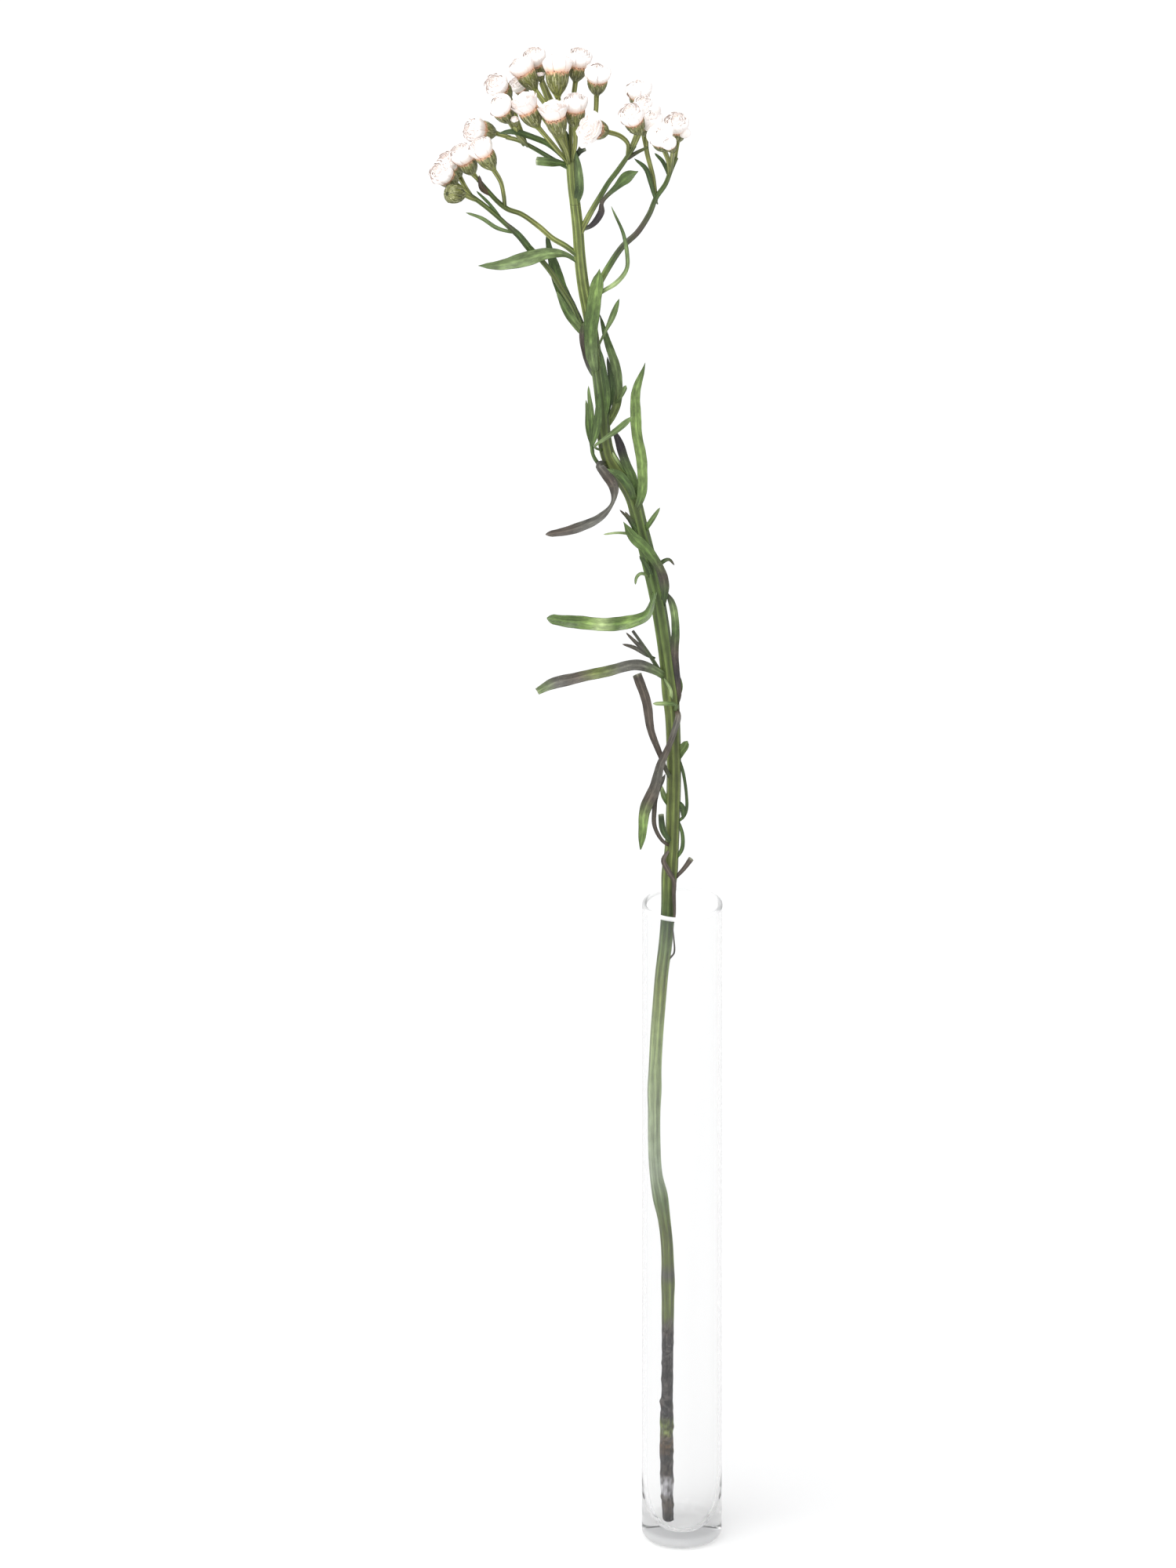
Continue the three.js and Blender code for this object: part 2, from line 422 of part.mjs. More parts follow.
const SPRAYS = [
  {
    name: 'spray_low_left',
    radii: [1.1, 0.85],
    main: [[-34.5, 1.5, 489.5], [-37.5, 1, 493.5], [-41, 0.5, 502.5], [-45, -0.5, 510], [-49.5, -2, 518],
      [-57, -3.5, 528], [-67, -4.5, 539], [-74, -4.5, 545.5], [-79, -4.5, 549.5]],
    leaves: [
      [[-36, 2.5, 491, 2.5], [-42, 4, 500.5, 4.5], [-46.5, 5, 512, 4.5], [-49, 6, 521, 3],
        [-50.5, 6, 530, 1]],
      [[-53, -3, 522.5, 1.2], [-57, -4.5, 528, 2.4], [-61.5, -5, 534, 2.4], [-66.5, -5, 539.5, 0.8]],
      [[-36, 1, 489.5, 1.5], [-39.5, 0, 495, 3.2], [-43, -0.5, 501, 3], [-47, -1, 509, 1]],
      [[-62.5, -4, 534, 1], [-69, -6, 537, 1.5], [-74.5, -7, 541, 1.5], [-80.5, -7, 543.5, 0.7]],
      [[-67.5, -4.5, 540, 1], [-72.5, -4, 546.5, 1.2], [-76.5, -4, 551, 0.7]],
    ],
    heads: [
      { name: 'q', foot: [-82.5, 9, 550.5], axis: [-0.47, -0.35, 0.81], size: 0.9,
        pedicel: [[-78, -4.5, 548.5], [-80.5, 2, 549.5]] },
      { name: 'r', foot: [-84, -2, 552.5], axis: [-0.51, -0.52, 0.68],
        pedicel: [[-78, -4.5, 548.5], [-81.5, -4, 551.5]] },
      { name: 's', foot: [-80.5, -9, 551.5], axis: [-0.72, -0.62, 0.32], size: 0.95, closed: true,
        pedicel: [[-77, -4.5, 547.5], [-79, -7, 549.5]] },
    ],
  },
  {
    name: 'spray_high_left',
    radii: [1.05, 0.8],
    main: [[-38, 0.5, 522], [-43.5, 1, 526.5], [-48.5, 1.5, 529.5], [-53.5, 2, 534], [-60, 2, 539],
      [-65, 2, 541], [-68.5, 1.5, 544], [-73, 1, 549.5], [-76, 0.5, 553.5]],
    leaves: [
      [[-38.5, 0.5, 521, 2.2], [-43, 0, 525.5, 2.8], [-50, -5, 527.5, 4.6], [-58.5, -8, 525.5, 5.4],
        [-67.5, -9, 523, 3.5], [-76, -9, 523, 0.8]],
      [[-70.5, 1.5, 546.5, 1], [-74.5, -0.5, 550.5, 2.2], [-75.5, -1, 556, 0.8]],
    ],
    heads: [
      { name: 'o', foot: [-77.5, 0, 555.5], axis: [-0.4, -0.22, 0.89], pedicel: [[-75, 0.5, 552.5]] },
      { name: 'p', foot: [-70, -6, 560], axis: [-0.46, -0.1, 0.88],
        pedicel: [[-66, 2, 542], [-66.5, -0.5, 548], [-67.5, -3, 554]] },
    ],
  },
  {
    name: 'spray_middle',
    radii: [0.95, 0.8],
    main: [[-42, 0, 558.5], [-47.5, 1, 561], [-55, 4, 564.5], [-61, 6, 567], [-65.5, 8, 567.5]],
    trunk: true,
    leaves: [
      [[-39.5, -0.5, 545, 2.5], [-38.5, -2.5, 551, 4.2], [-38.5, -3, 558, 3.6], [-40, -3, 566.5, 1]],
      [[-43.5, 0, 560, 1.4], [-48.5, -2.5, 562, 3.2], [-54.5, -5, 563.5, 3.2]],
      [[-40.5, 0, 561, 1.2], [-38, -3, 566.5, 2], [-36, -3.5, 567.5, 1.2]],
      [[-42, 1, 560, 1.2], [-42.5, 4.5, 565.5, 2.4], [-43.5, 6, 571, 0.9]],
      [[-43.5, -0.5, 562, 1], [-50.5, -3.5, 570, 2.2], [-57.5, -5.5, 574, 2.2], [-63, -7, 576, 2.2],
        [-68.5, -7, 575.5, 1]],
    ],
    heads: [
      { name: 'a', foot: [-54.5, 8, 586], axis: [-0.49, 0.13, 0.86],
        pedicel: [[-42, 1, 560.5], [-47.5, 5, 576]] },
      { name: 'b', foot: [-52.5, 19, 586], axis: [-0.26, -0.18, 0.95], size: 0.95,
        pedicel: [[-41.5, 1, 560.5], [-46.5, 11, 575]] },
      { name: 'c', foot: [-46.5, 3, 585.5], axis: [-0.01, 0.39, 0.92], size: 1.15,
        pedicel: [[-42, 0.5, 560.5], [-44.5, 2, 574]] },
      { name: 'd', foot: [-40, 15, 586.5], axis: [0.15, -0.13, 0.98],
        pedicel: [[-41.5, 0.5, 560.5], [-41.5, 8, 574.5]] },
      { name: 'e', foot: [-32, 7, 584.5], axis: [0.04, -0.23, 0.97],
        pedicel: [[-41, 0.5, 560.5], [-35, 4, 571], [-32.5, 6, 577.5]] },
      { name: 'f', foot: [-64, 8, 583], axis: [-0.49, -0.46, 0.74], size: 0.95,
        pedicel: [[-58, 5, 565.5], [-61, 7, 573.5]] },
      { name: 'g', foot: [-64, -3, 578], axis: [-0.39, -0.38, 0.84],
        pedicel: [[-59, 5.5, 565.5], [-61.5, 1.5, 571.5]] },
      { name: 'h', foot: [-53.5, -6, 577], axis: [-0.45, -0.05, 0.89], size: 1.05,
        pedicel: [[-42, -0.5, 560], [-48.5, -4, 570]] },
      { name: 'i', foot: [-45.5, -11, 575], axis: [-0.21, 0, 0.98], size: 1.05,
        pedicel: [[-42, -0.5, 560], [-43.5, -6, 568.5]] },
      { name: 'j', foot: [-40, -5, 576], axis: [0, -0.01, 1],
        pedicel: [[-41.5, -0.5, 560], [-40, -3.5, 569.5]] },
      { name: 'l', foot: [-69, 9, 568.5], axis: [-0.76, -0.52, 0.39], pedicel: [[-64, 7.5, 567.5]] },
      { name: 'm', foot: [-58, 21, 578.5], axis: [-0.42, -0.43, 0.8], size: 0.7,
        pedicel: [[-41.5, 1, 560], [-50, 14, 570]] },
      { name: 'bud_high', foot: [-52.5, 12, 587.5], axis: [-0.1, 0, 1], size: 0.4,
        pedicel: [[-46, 4, 571.5], [-50, 9, 581.5]] },
      { name: 'bud_low', foot: [-62, -8, 578.5], axis: [-0.1, -0.3, 0.95], size: 0.4,
        pedicel: [[-57.5, 4.5, 565.5], [-61, -3, 573]] },
    ],
  },
  {
    name: 'spray_inner_right',
    radii: [1.1, 0.8],
    main: [[-39, 1, 529.5], [-35, 1, 538.5], [-31, 1, 546], [-27.5, 0.5, 552.5], [-24.5, 0, 557],
      [-20.5, -3, 564.5], [-18, -6, 570]],
    leaves: [
      [[-37.5, 0.5, 533, 1], [-33.5, 0, 535.5, 2], [-30.5, 0, 540.5, 2.6], [-30, -1, 545, 1.6],
        [-25, -1.5, 551, 2.2], [-20.5, -2, 556, 4.4], [-16.5, -2, 558, 1]],
    ],
    heads: [
      { name: 'v', foot: [-16, -9.5, 576], axis: [-0.29, -0.36, 0.89], pedicel: [[-18.5, -5.5, 569]] },
      { name: 't', foot: [-15.5, 13, 575], axis: [-0.09, -0.17, 0.98],
        pedicel: [[-21, -2.5, 563.5], [-17, 6, 570.5]] },
      { name: 'k', foot: [-28, -9, 577], axis: [-0.56, -0.71, 0.42],
        pedicel: [[-20.5, -3, 564.5], [-20.5, -5, 570.5], [-23.5, -7, 574.5]] },
    ],
    spurs: [[[-20.5, -2.5, 563.5], [-16.5, -3.5, 566.5], [-13, -4, 568.5]]],
  },
  {
    name: 'spray_outer_right',
    radii: [1.25, 0.8],
    main: [[-35, 1, 503.5], [-32.5, 2, 508], [-27.5, 1.5, 518], [-22.5, 1.5, 526], [-17, 2, 531.5],
      [-12.5, 2, 539], [-10, 1, 546], [-6.5, 0, 552], [-4.5, -2, 558.5], [-2.5, -0.5, 563]],
    leaves: [
      [[-10, 1, 545, 1], [-12, -1, 553, 1.6], [-14, -1.5, 559, 1.8], [-18, -1.5, 563, 0.8]],
      [[-5.5, -1, 556, 1], [-7.5, -4, 563, 1.5], [-10.5, -4.5, 566.5, 0.8]],
    ],
    heads: [
      { name: 'w', foot: [-14, 1, 571], axis: [0.17, -0.46, 0.87],
        pedicel: [[-10, 1.5, 544.5], [-11, 1, 554], [-13.5, 1, 565]] },
      { name: 'u', foot: [-14.5, 6, 576.5], axis: [-0.03, -0.42, 0.91], size: 0.7,
        pedicel: [[-13, 1, 563], [-14.5, 5, 570]] },
      { name: 'x', foot: [-7, -9, 569.5], axis: [-0.15, -0.55, 0.82],
        pedicel: [[-5, -1.5, 556.5], [-5.5, -6, 564]] },
      { name: 'y', foot: [-3.5, -17, 572.5], axis: [-0.28, -0.56, 0.78], size: 0.6,
        pedicel: [[-4.5, -2, 558.5], [-4, -10, 567]] },
      { name: 'z', foot: [-2, 4, 567], axis: [-0.04, -0.38, 0.93], size: 0.95, pedicel: [[-3, -1, 561.5]] },
    ],
  },
];

/** The stem's own top: the part of its course above the top node. */
function trunk() {
  const from = topNode + CLEARANCE / stemCourse.getLength();
  const steps = Math.round((stemCourse.getLength() * (1 - from)) / STEM.trunkStep);
  const { sides, ribs, ribHeight } = STEM;
  return rod(stemCourse, stemRadius(), { sides, steps, from, ribs, ribHeight });
}

/** One green spray, its roots cut clear of the stem. */
function spray({ main, radii, heads, leaves, spurs = [], trunk: hasTrunk = false }) {
  const pedicels = heads.map(({ pedicel, foot, axis }) => {
    const [x, y, z] = foot.map((value, i) => value + PEDICEL_SINK * axis[i]);
    return twig([...pedicel, [x, y, z]], PEDICEL_RADII, TWIG.pedicelSides);
  });
  const green = joined([
    twig(main, radii), ...pedicels, ...spurs.map((points) => twig(points, SHOOT_RADII)),
    ...heads.map(cup), ...leaves.map((points) => blade(points)),
  ]);
  return hasTrunk ? green.add(trunk()) : green.subtract(stem(CLEARANCE));
}

// The whole object

const ixodia = new THREE.Group();
ixodia.add(meshOf('vase', vase(), CLEAR_GLASS));
ixodia.add(meshOf('leafy_stem', leafyStem(), DRIED_STEM));
for (const plan of SPRAYS) {
  ixodia.add(meshOf(plan.name, spray(plan), DRIED_SPRAY));
  for (const head of plan.heads.filter(({ closed }) => !closed)) {
    ixodia.add(meshOf(`crown_${head.name}`, crown(head), PAPERY_BRACT));
  }
}

export default ixodia;
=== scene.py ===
"""A dried ixodia standing in its clear glass tube vase.

The plant is built in millimetres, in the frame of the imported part: +Z up, the centre of the vase's
underside at the origin, the sprays towards -X and the broad faces of the leaves towards -Y. Each
surface is a grid of points worked out as whole arrays and lofted into closed skins.
"""

import logging
import math
from dataclasses import dataclass
from enum import Enum

import bpy
import numpy as np
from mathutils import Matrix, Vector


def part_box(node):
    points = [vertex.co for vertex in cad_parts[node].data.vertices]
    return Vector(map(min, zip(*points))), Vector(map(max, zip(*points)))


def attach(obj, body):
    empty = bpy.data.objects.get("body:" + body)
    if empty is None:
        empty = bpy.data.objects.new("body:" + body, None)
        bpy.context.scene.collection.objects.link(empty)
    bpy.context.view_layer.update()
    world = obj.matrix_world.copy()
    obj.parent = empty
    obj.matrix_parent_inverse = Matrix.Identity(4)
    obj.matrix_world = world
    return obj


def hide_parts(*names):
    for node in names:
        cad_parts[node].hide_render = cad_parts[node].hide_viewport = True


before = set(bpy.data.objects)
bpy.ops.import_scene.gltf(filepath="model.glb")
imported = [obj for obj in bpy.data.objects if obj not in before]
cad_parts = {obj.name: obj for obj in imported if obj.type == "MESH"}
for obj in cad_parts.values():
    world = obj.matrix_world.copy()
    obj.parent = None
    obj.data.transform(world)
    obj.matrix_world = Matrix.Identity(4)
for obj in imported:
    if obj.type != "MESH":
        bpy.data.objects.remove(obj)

log = logging.getLogger("ixodia")

MM = 0.001
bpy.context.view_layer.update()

# The photograph's view: its frame in pixels, the object's millimetres to a pixel and where it aims
PHOTO_HEIGHT_PX = 2000
MM_PER_PX = 0.2924
VIEW_ELEVATION = math.radians(24)
VIEW_DISTANCE = 18000.0
VIEW_AIM = (-35.2, 0.0, 308.4)
SENSOR = 36.0

# The ways that the broad face of a leaf looks, and that the ribs of a stalk are counted from
LEAF_FACE = np.array([0.0, -1.0, 0.45])
STALK_FACE = np.array([0.3, -1.0, 0.0])
GOLDEN_ANGLE = math.pi * (3 - math.sqrt(5))
# Random phases are drawn up to this many radians, about a whole turn
PHASES = 6.3


def linear(hex_code: str) -> tuple[float, float, float]:
    """Turns an sRGB hex colour such as '#8fa05c' to linear red, green and blue.

    Args:
        hex_code: The colour as a hash and six hex digits.

    Returns:
        Three linear values from 0 to 1.
    """
    parts = [int(hex_code[i : i + 2], 16) / 255 for i in (1, 3, 5)]
    return tuple(c / 12.92 if c <= 0.04045 else ((c + 0.055) / 1.055) ** 2.4 for c in parts)


def opaque(hex_code: str) -> tuple[float, float, float, float]:
    """A hex colour as a shader's socket takes it: linear, with full cover."""
    return (*linear(hex_code), 1.0)


class Colour(Enum):
    """A set of named sRGB hex colours."""

    @property
    def row(self) -> np.ndarray:
        """The colour as a row of linear red, green and blue."""
        return np.array(linear(self.value))


class Tone(Colour):
    """The colours that dried leaves, twigs and the stem pass through along their length."""

    FRESH = "#4e6332"
    BRIGHT = "#6a8045"
    PALE = "#93a470"
    DEEP = "#3c4f28"
    DARK = "#29341c"
    SAGE = "#65774a"
    MOSS = "#768248"
    FROST = "#98a58a"
    OLIVE = "#5d6834"
    STRAW = "#8f9455"
    PLUM = "#4a423a"
    NIGHT = "#2a2627"
    ASH = "#504f48"
    BROWN = "#574530"
    CUT = "#a5a98e"
    STONE = "#a3a1a4"


class Tint(Colour):
    """The colours of single features of the bark, the cups' scales, the bracts and the florets."""

    BARK_SPECK = "#8d8883"
    FRESH_SCAR = "#3f332b"
    # The paler half of the scars: pale grey, partly worn bark and partly a painted highlight on the knobs
    WORN_SCAR_AND_GLINT = "#615c57"
    CUP_FOOT = "#949b4c"
    # The core's colour above its foot: painted shade that shows in the gaps between the scales
    CUP_CORE = "#3d4420"
    CUP_BAND = "#d9a37c"
    SCALE = "#74773f"
    # Painted shade at the scales' edges, and a pale streak down their middles, partly their own colour and
    # partly a painted highlight
    SCALE_EDGE_SHADE = "#42462a"
    SCALE_STREAK_AND_HIGHLIGHT = "#c9c8a4"
    SCALE_MARGIN = "#e3b08c"
    SCALE_TIP = "#3c1a10"
    BRACT = "#f6f0ed"
    # Painted shade in the bracts' folds
    BRACT_FOLD_SHADE = "#cdbab4"
    BRACT_FOOT = "#f2c9ab"
    BRACT_ROOT = "#d68a58"
    TUFT = "#faf5ef"
    FLORET_TIP = "#b59a7c"
    LOOSE_BRACT = "#f7f3f0"
    # Painted shade in the loose bracts' folds
    LOOSE_FOLD_SHADE = "#dcc9c2"


def tone_chart(tones: str) -> np.ndarray:
    """Linear colours of a list of tone names.

    Args:
        tones: Tone names in lower case, with spaces between them.

    Returns:
        One row of linear red, green and blue for each name.
    """
    return np.array([Tone[name.upper()].row for name in tones.split()])


def blend(base: np.ndarray, over: np.ndarray, share: np.ndarray) -> np.ndarray:
    """Values laid over others by a share from 0 to 1."""
    return base * (1 - share) + over * share


def ramp(values: np.ndarray, start: float, width: float) -> np.ndarray:
    """Rises straight from 0 at the start to 1 a width further on, and is level outside."""
    return np.clip((values - start) / width, 0, 1)


def bell(values: np.ndarray, middle: float, half: float) -> np.ndarray:
    """A bell curve: 1 in the middle, and 1/e a half width away from it."""
    return np.exp(-(((values - middle) / half) ** 2))


def turns(count: int) -> np.ndarray:
    """Evenly spaced turns round a circle in radians, the first at 0."""
    return np.linspace(0, 2 * math.pi, count, endpoint=False)


def surface_grid(
    rows: int, columns: int, first: float = 0.0, last: float = 1.0
) -> tuple[np.ndarray, np.ndarray]:
    """The two parameters of a surface: shares along it in a column, and turns across it in a row."""
    return np.linspace(first, last, rows)[:, None], turns(columns)[None, :]


def grid(*values: np.ndarray | float) -> np.ndarray:
    """Values that stretch over one grid, as a row of them at each of its points."""
    return np.stack(np.broadcast_arrays(*values), axis=-1)


def chart(values: np.ndarray, share: np.ndarray) -> np.ndarray:
    """Evenly spaced rows of values read at shares from 0 to 1 of the way, straight between them.

    Args:
        values: Rows of values, the first at share 0 and the last at share 1.
        share: Where to read them.

    Returns:
        One row of values for each share.
    """
    at = np.linspace(0, 1, len(values))
    return np.stack([np.interp(share, at, column) for column in values.T], axis=-1)


def spline(knots: np.ndarray, count: int) -> np.ndarray:
    """A smooth curve through knots, with as many points between each knot and the next.

    Between two knots it is the cubic whose end slopes come from the neighbouring knots, weighed
    by the square roots of the distances between them.

    Args:
        knots: Rows of x, y, z and any further values, which follow the same cubic.
        count: How many points to read off.

    Returns:
        The points, in rows like the knots'.
    """
    root = np.sqrt(np.linalg.norm(np.diff(knots[:, :3], axis=0), axis=1))
    beyond = np.vstack([2 * knots[0] - knots[1], knots, 2 * knots[-1] - knots[-2]])
    gap = np.concatenate([root[:1], root, root[-1:]])[:, None]
    place = np.linspace(0, len(knots) - 1, count)
    near = np.minimum(place.astype(int), len(knots) - 2)
    share = (place - near)[:, None]
    p0, p1, p2, p3 = (beyond[near + k] for k in range(4))
    g0, g1, g2 = (gap[near + k] for k in range(3))
    leave = ((p1 - p0) / g0 - (p2 - p0) / (g0 + g1) + (p2 - p1) / g1) * g1
    arrive = ((p2 - p1) / g1 - (p3 - p1) / (g1 + g2) + (p3 - p2) / g2) * g1
    return (
        (2 * share**3 - 3 * share**2 + 1) * p1
        + (share**3 - 2 * share**2 + share) * leave
        + (3 * share**2 - 2 * share**3) * p2
        + (share**3 - share**2) * arrive
    )


def evenly(path: np.ndarray, step: float) -> np.ndarray:
    """The same curve with its points a step apart along its length.

    Args:
        path: Rows of x, y, z and any further values.
        step: The wanted spacing in millimetres.

    Returns:
        Rows like the path's.
    """
    run = along(path[:, :3])
    at = np.linspace(0, run[-1], max(4, int(run[-1] / step) + 1))
    return np.stack([np.interp(at, run, column) for column in path.T], axis=-1)


def along(path: np.ndarray) -> np.ndarray:
    """Distance from the start to each point of a path."""
    return np.concatenate([[0], np.cumsum(np.linalg.norm(np.diff(path, axis=0), axis=1))])


def frames(path: np.ndarray, face: np.ndarray) -> tuple[np.ndarray, np.ndarray]:
    """Two unit directions across a path: sideways, and out towards a face.

    Sideways is the face's direction crossed with the path's own, and out is the path's direction
    crossed with sideways, so a ring that turns from sideways to out runs right-handed.

    Args:
        path: Points of the path.
        face: The direction that the out direction leans to.

    Returns:
        The sideways and the out directions, one row for each point.
    """
    tangent = np.gradient(path, axis=0)
    tangent /= np.linalg.norm(tangent, axis=1, keepdims=True)
    side = np.cross(face, tangent)
    side /= np.linalg.norm(side, axis=1, keepdims=True)
    return side, np.cross(tangent, side)


def mottle(shape: tuple[int, int], cells: tuple[int, int], rng: np.random.Generator) -> np.ndarray:
    """Smooth random values from -1 to 1 on a grid that closes on itself across its columns.

    Random values at coarse cells are blended to the grid by the eased share of the way between
    the four nearest cells.

    Args:
        shape: Rows and columns of the grid.
        cells: Rows and columns of coarse cells.
        rng: The seeded source of random values.

    Returns:
        The grid of values.
    """
    coarse = rng.uniform(-1, 1, (cells[0] + 2, cells[1]))
    row = np.linspace(0, cells[0], shape[0])[:, None]
    column = np.linspace(0, cells[1], shape[1], endpoint=False)[None, :]
    top, left = row.astype(int), column.astype(int)
    right = (left + 1) % cells[1]
    down, over = (way * way * (3 - 2 * way) for way in (row - top, column - left))
    upper = blend(coarse[top, left], coarse[top, right], over)
    lower = blend(coarse[top + 1, left], coarse[top + 1, right], over)
    return blend(upper, lower, down)


@dataclass
class Skin:
    """Closed surfaces in millimetres, with a linear tint and a place across and along per point."""

    points: np.ndarray
    tints: np.ndarray
    places: np.ndarray
    polygons: list[np.ndarray]

    @staticmethod
    def loft(rings: np.ndarray, tints: np.ndarray, places: np.ndarray) -> "Skin":
        """Closed skins over stacks of rings, with a flat face over each end.

        Args:
            rings: Points by skin, ring and place on the ring, which runs right-handed.
            tints: Linear colours of the points, in the same order or one for all.
            places: Where each point is across and along, in the same order or one for all.

        Returns:
            The skins as one.
        """
        skins, rows, columns = rings.shape[:3]
        corner = np.arange(skins * rows * columns).reshape(skins, rows, columns)
        ahead = np.roll(corner, -1, axis=2)
        quads = np.stack([corner[:, :-1], ahead[:, :-1], ahead[:, 1:], corner[:, 1:]], axis=-1)
        return Skin(
            rings.reshape(-1, 3),
            np.broadcast_to(tints, rings.shape).reshape(-1, 3),
            np.broadcast_to(places, (*rings.shape[:3], 2)).reshape(-1, 2),
            [quads.reshape(-1, 4), corner[:, 0, ::-1], corner[:, -1]],
        )

    @staticmethod
    def stalk(path: np.ndarray, turn: np.ndarray, radius: np.ndarray, tint: np.ndarray) -> "Skin":
        """A closed skin round a path.

        A point stands off the path by its radius, turned from sideways to out. Its place across
        falls from 1 to 0 over half a turn and rises again, so the veins meet without a seam.

        Args:
            path: Points of the path.
            turn: Turns about the path in one row.
            radius: Distances from the path, by point and turn.
            tint: Linear colours, by point and turn.

        Returns:
            The stalk's skin.
        """
        side, out = frames(path, STALK_FACE)
        rings = path[:, None] + (
            side[:, None] * (radius * np.cos(turn))[..., None]
            + out[:, None] * (radius * np.sin(turn))[..., None]
        )
        places = grid(np.abs(turn / math.pi - 1), along(path)[:, None])
        return Skin.loft(rings[None], tint[None], places[None])

    @staticmethod
    def joined(skins: "list[Skin]") -> "Skin":
        """Several skins as one.

        Args:
            skins: The skins, whose points keep their order.

        Returns:
            One skin with all their points and polygons.
        """
        starts = np.cumsum([0] + [len(skin.points) for skin in skins[:-1]])
        return Skin(
            np.vstack([skin.points for skin in skins]),
            np.vstack([skin.tints for skin in skins]),
            np.vstack([skin.places for skin in skins]),
            [polygon + start for skin, start in zip(skins, starts) for polygon in skin.polygons],
        )

    def piece(self, name: str, finish: "Finish", node: str, slot: str) -> bpy.types.Object:
        """Makes the skin an object that rides with the part and stands for one of its nodes.

        Args:
            name: The object's name.
            finish: What it is made of.
            node: The part's node that it stands for.
            slot: A material slot's name; not used.

        Returns:
            The object.
        """
        mesh = bpy.data.meshes.new(name)
        faces = [face for polygon in self.polygons for face in polygon.tolist()]
        mesh.from_pydata((self.points * MM).tolist(), [], faces)
        mesh.polygons.foreach_set("use_smooth", np.ones(len(faces), dtype=bool))
        tint = mesh.color_attributes.new("tint", "FLOAT_COLOR", "POINT")
        solid = np.ones((len(self.tints), 1))
        tint.data.foreach_set("color", np.hstack([self.tints, solid]).astype(np.float32).ravel())
        corner = np.empty(len(mesh.loops), dtype=np.int32)
        mesh.loops.foreach_get("vertex_index", corner)
        layer = mesh.uv_layers.new(name="across_along")
        layer.data.foreach_set("uv", self.places[corner].astype(np.float32).ravel())
        mesh.materials.append(finish.material())
        obj = bpy.data.objects.new(name, mesh)
        bpy.context.scene.collection.objects.link(obj)
        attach(obj, "root")
        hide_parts(node)
        log.info("%s: %d faces for %s", name, len(faces), node)
        return obj


# Finishes

# The values that most of a noise lies between
NOISE_LOW, NOISE_HIGH = 0.3, 0.7


def add_node(
    material: bpy.types.Material, kind: str, settings: dict | None = None, **inputs: object
) -> bpy.types.Node:
    """Adds a shader node, sets it and links or fills its sockets.

    Args:
        material: The material that gets the node.
        kind: The node's type after 'ShaderNode'.
        settings: The node's own properties by name.
        **inputs: A value or another node's output socket for each input, by the socket's name in
            lower case with underscores for spaces, or its number after 'n'.

    Returns:
        The node.
    """
    node = material.node_tree.nodes.new("ShaderNode" + kind)
    for name, value in (settings or {}).items():
        setattr(node, name, value)
    by_name = {socket.name.lower().replace(" ", "_"): socket for socket in reversed(node.inputs)}
    for name, value in inputs.items():
        socket = node.inputs[int(name[1:])] if name[1:].isdigit() else by_name[name]
        if isinstance(value, bpy.types.NodeSocket):
            material.node_tree.links.new(value, socket)
        else:
            socket.default_value = value
    return node


def graded(
    material: bpy.types.Material,
    value: bpy.types.NodeSocket,
    first: tuple[float, float],
    last: tuple[float, float],
) -> bpy.types.NodeSocket:
    """Turns a shader's value into another along a straight line, level past its ends.

    Args:
        material: The material that gets the node.
        value: The output socket that gives the value.
        first: The value where the line starts, and what it becomes.
        last: The value where the line ends, and what it becomes.

    Returns:
        The output socket of the new value.
    """
    limits = dict(zip(("from_min", "to_min", "from_max", "to_max"), (*first, *last)))
    return add_node(material, "MapRange", value=value, **limits).outputs[0]


def drawn_out(
    material: bpy.types.Material, across: float, run: float, detail: float
) -> bpy.types.NodeSocket:
    """Noise drawn out along a piece, for veins, ribs and creases.

    Args:
        material: The material that gets the nodes.
        across: How many streaks lie across the piece.
        run: How many start in a millimetre of its length.
        detail: How many finer levels the noise has.

    Returns:
        The noise's output socket.
    """
    place = add_node(material, "UVMap", {"uv_map": "across_along"})
    stretched = add_node(material, "Mapping", vector=place.outputs[0], scale=(across, run, 1.0))
    noise = add_node(material, "TexNoise", vector=stretched.outputs[0], scale=1.0, detail=detail)
    return noise.outputs[0]


def shaded_tint(
    material: bpy.types.Material, shade: bpy.types.NodeSocket
) -> bpy.types.NodeSocket:
    """The piece's own tint, made lighter or darker by a shader's value.

    Args:
        material: The material that gets the nodes.
        shade: The output socket of the factor.

    Returns:
        The output socket of the shaded colour.
    """
    tint = add_node(material, "Attribute", {"attribute_name": "tint"})
    scaled = {"operation": "SCALE"}
    return add_node(
        material, "VectorMath", scaled, vector=tint.outputs[0], scale=shade
    ).outputs[0]


@dataclass(frozen=True)
class Finish:
    """What a piece is made of: one material, made when it is first asked for."""

    name: str

    def material(self) -> bpy.types.Material:
        """The finish's material, the same one each time."""
        found = bpy.data.materials.get(self.name)
        if found:
            return found
        made = bpy.data.materials.new(self.name)
        made.use_nodes = True
        made.node_tree.nodes.clear()
        parts = {"surface": self.surface(made).outputs[0]}
        body = self.volume(made)
        if body:
            parts["volume"] = body.outputs[0]
        add_node(made, "OutputMaterial", **parts)
        return made

    def volume(self, made: bpy.types.Material) -> bpy.types.Node | None:
        """The node that shades the inside, for a finish that light goes through."""
        return None

    def surface(self, made: bpy.types.Material) -> bpy.types.Node:
        """The node that shades the surface."""
        raise NotImplementedError


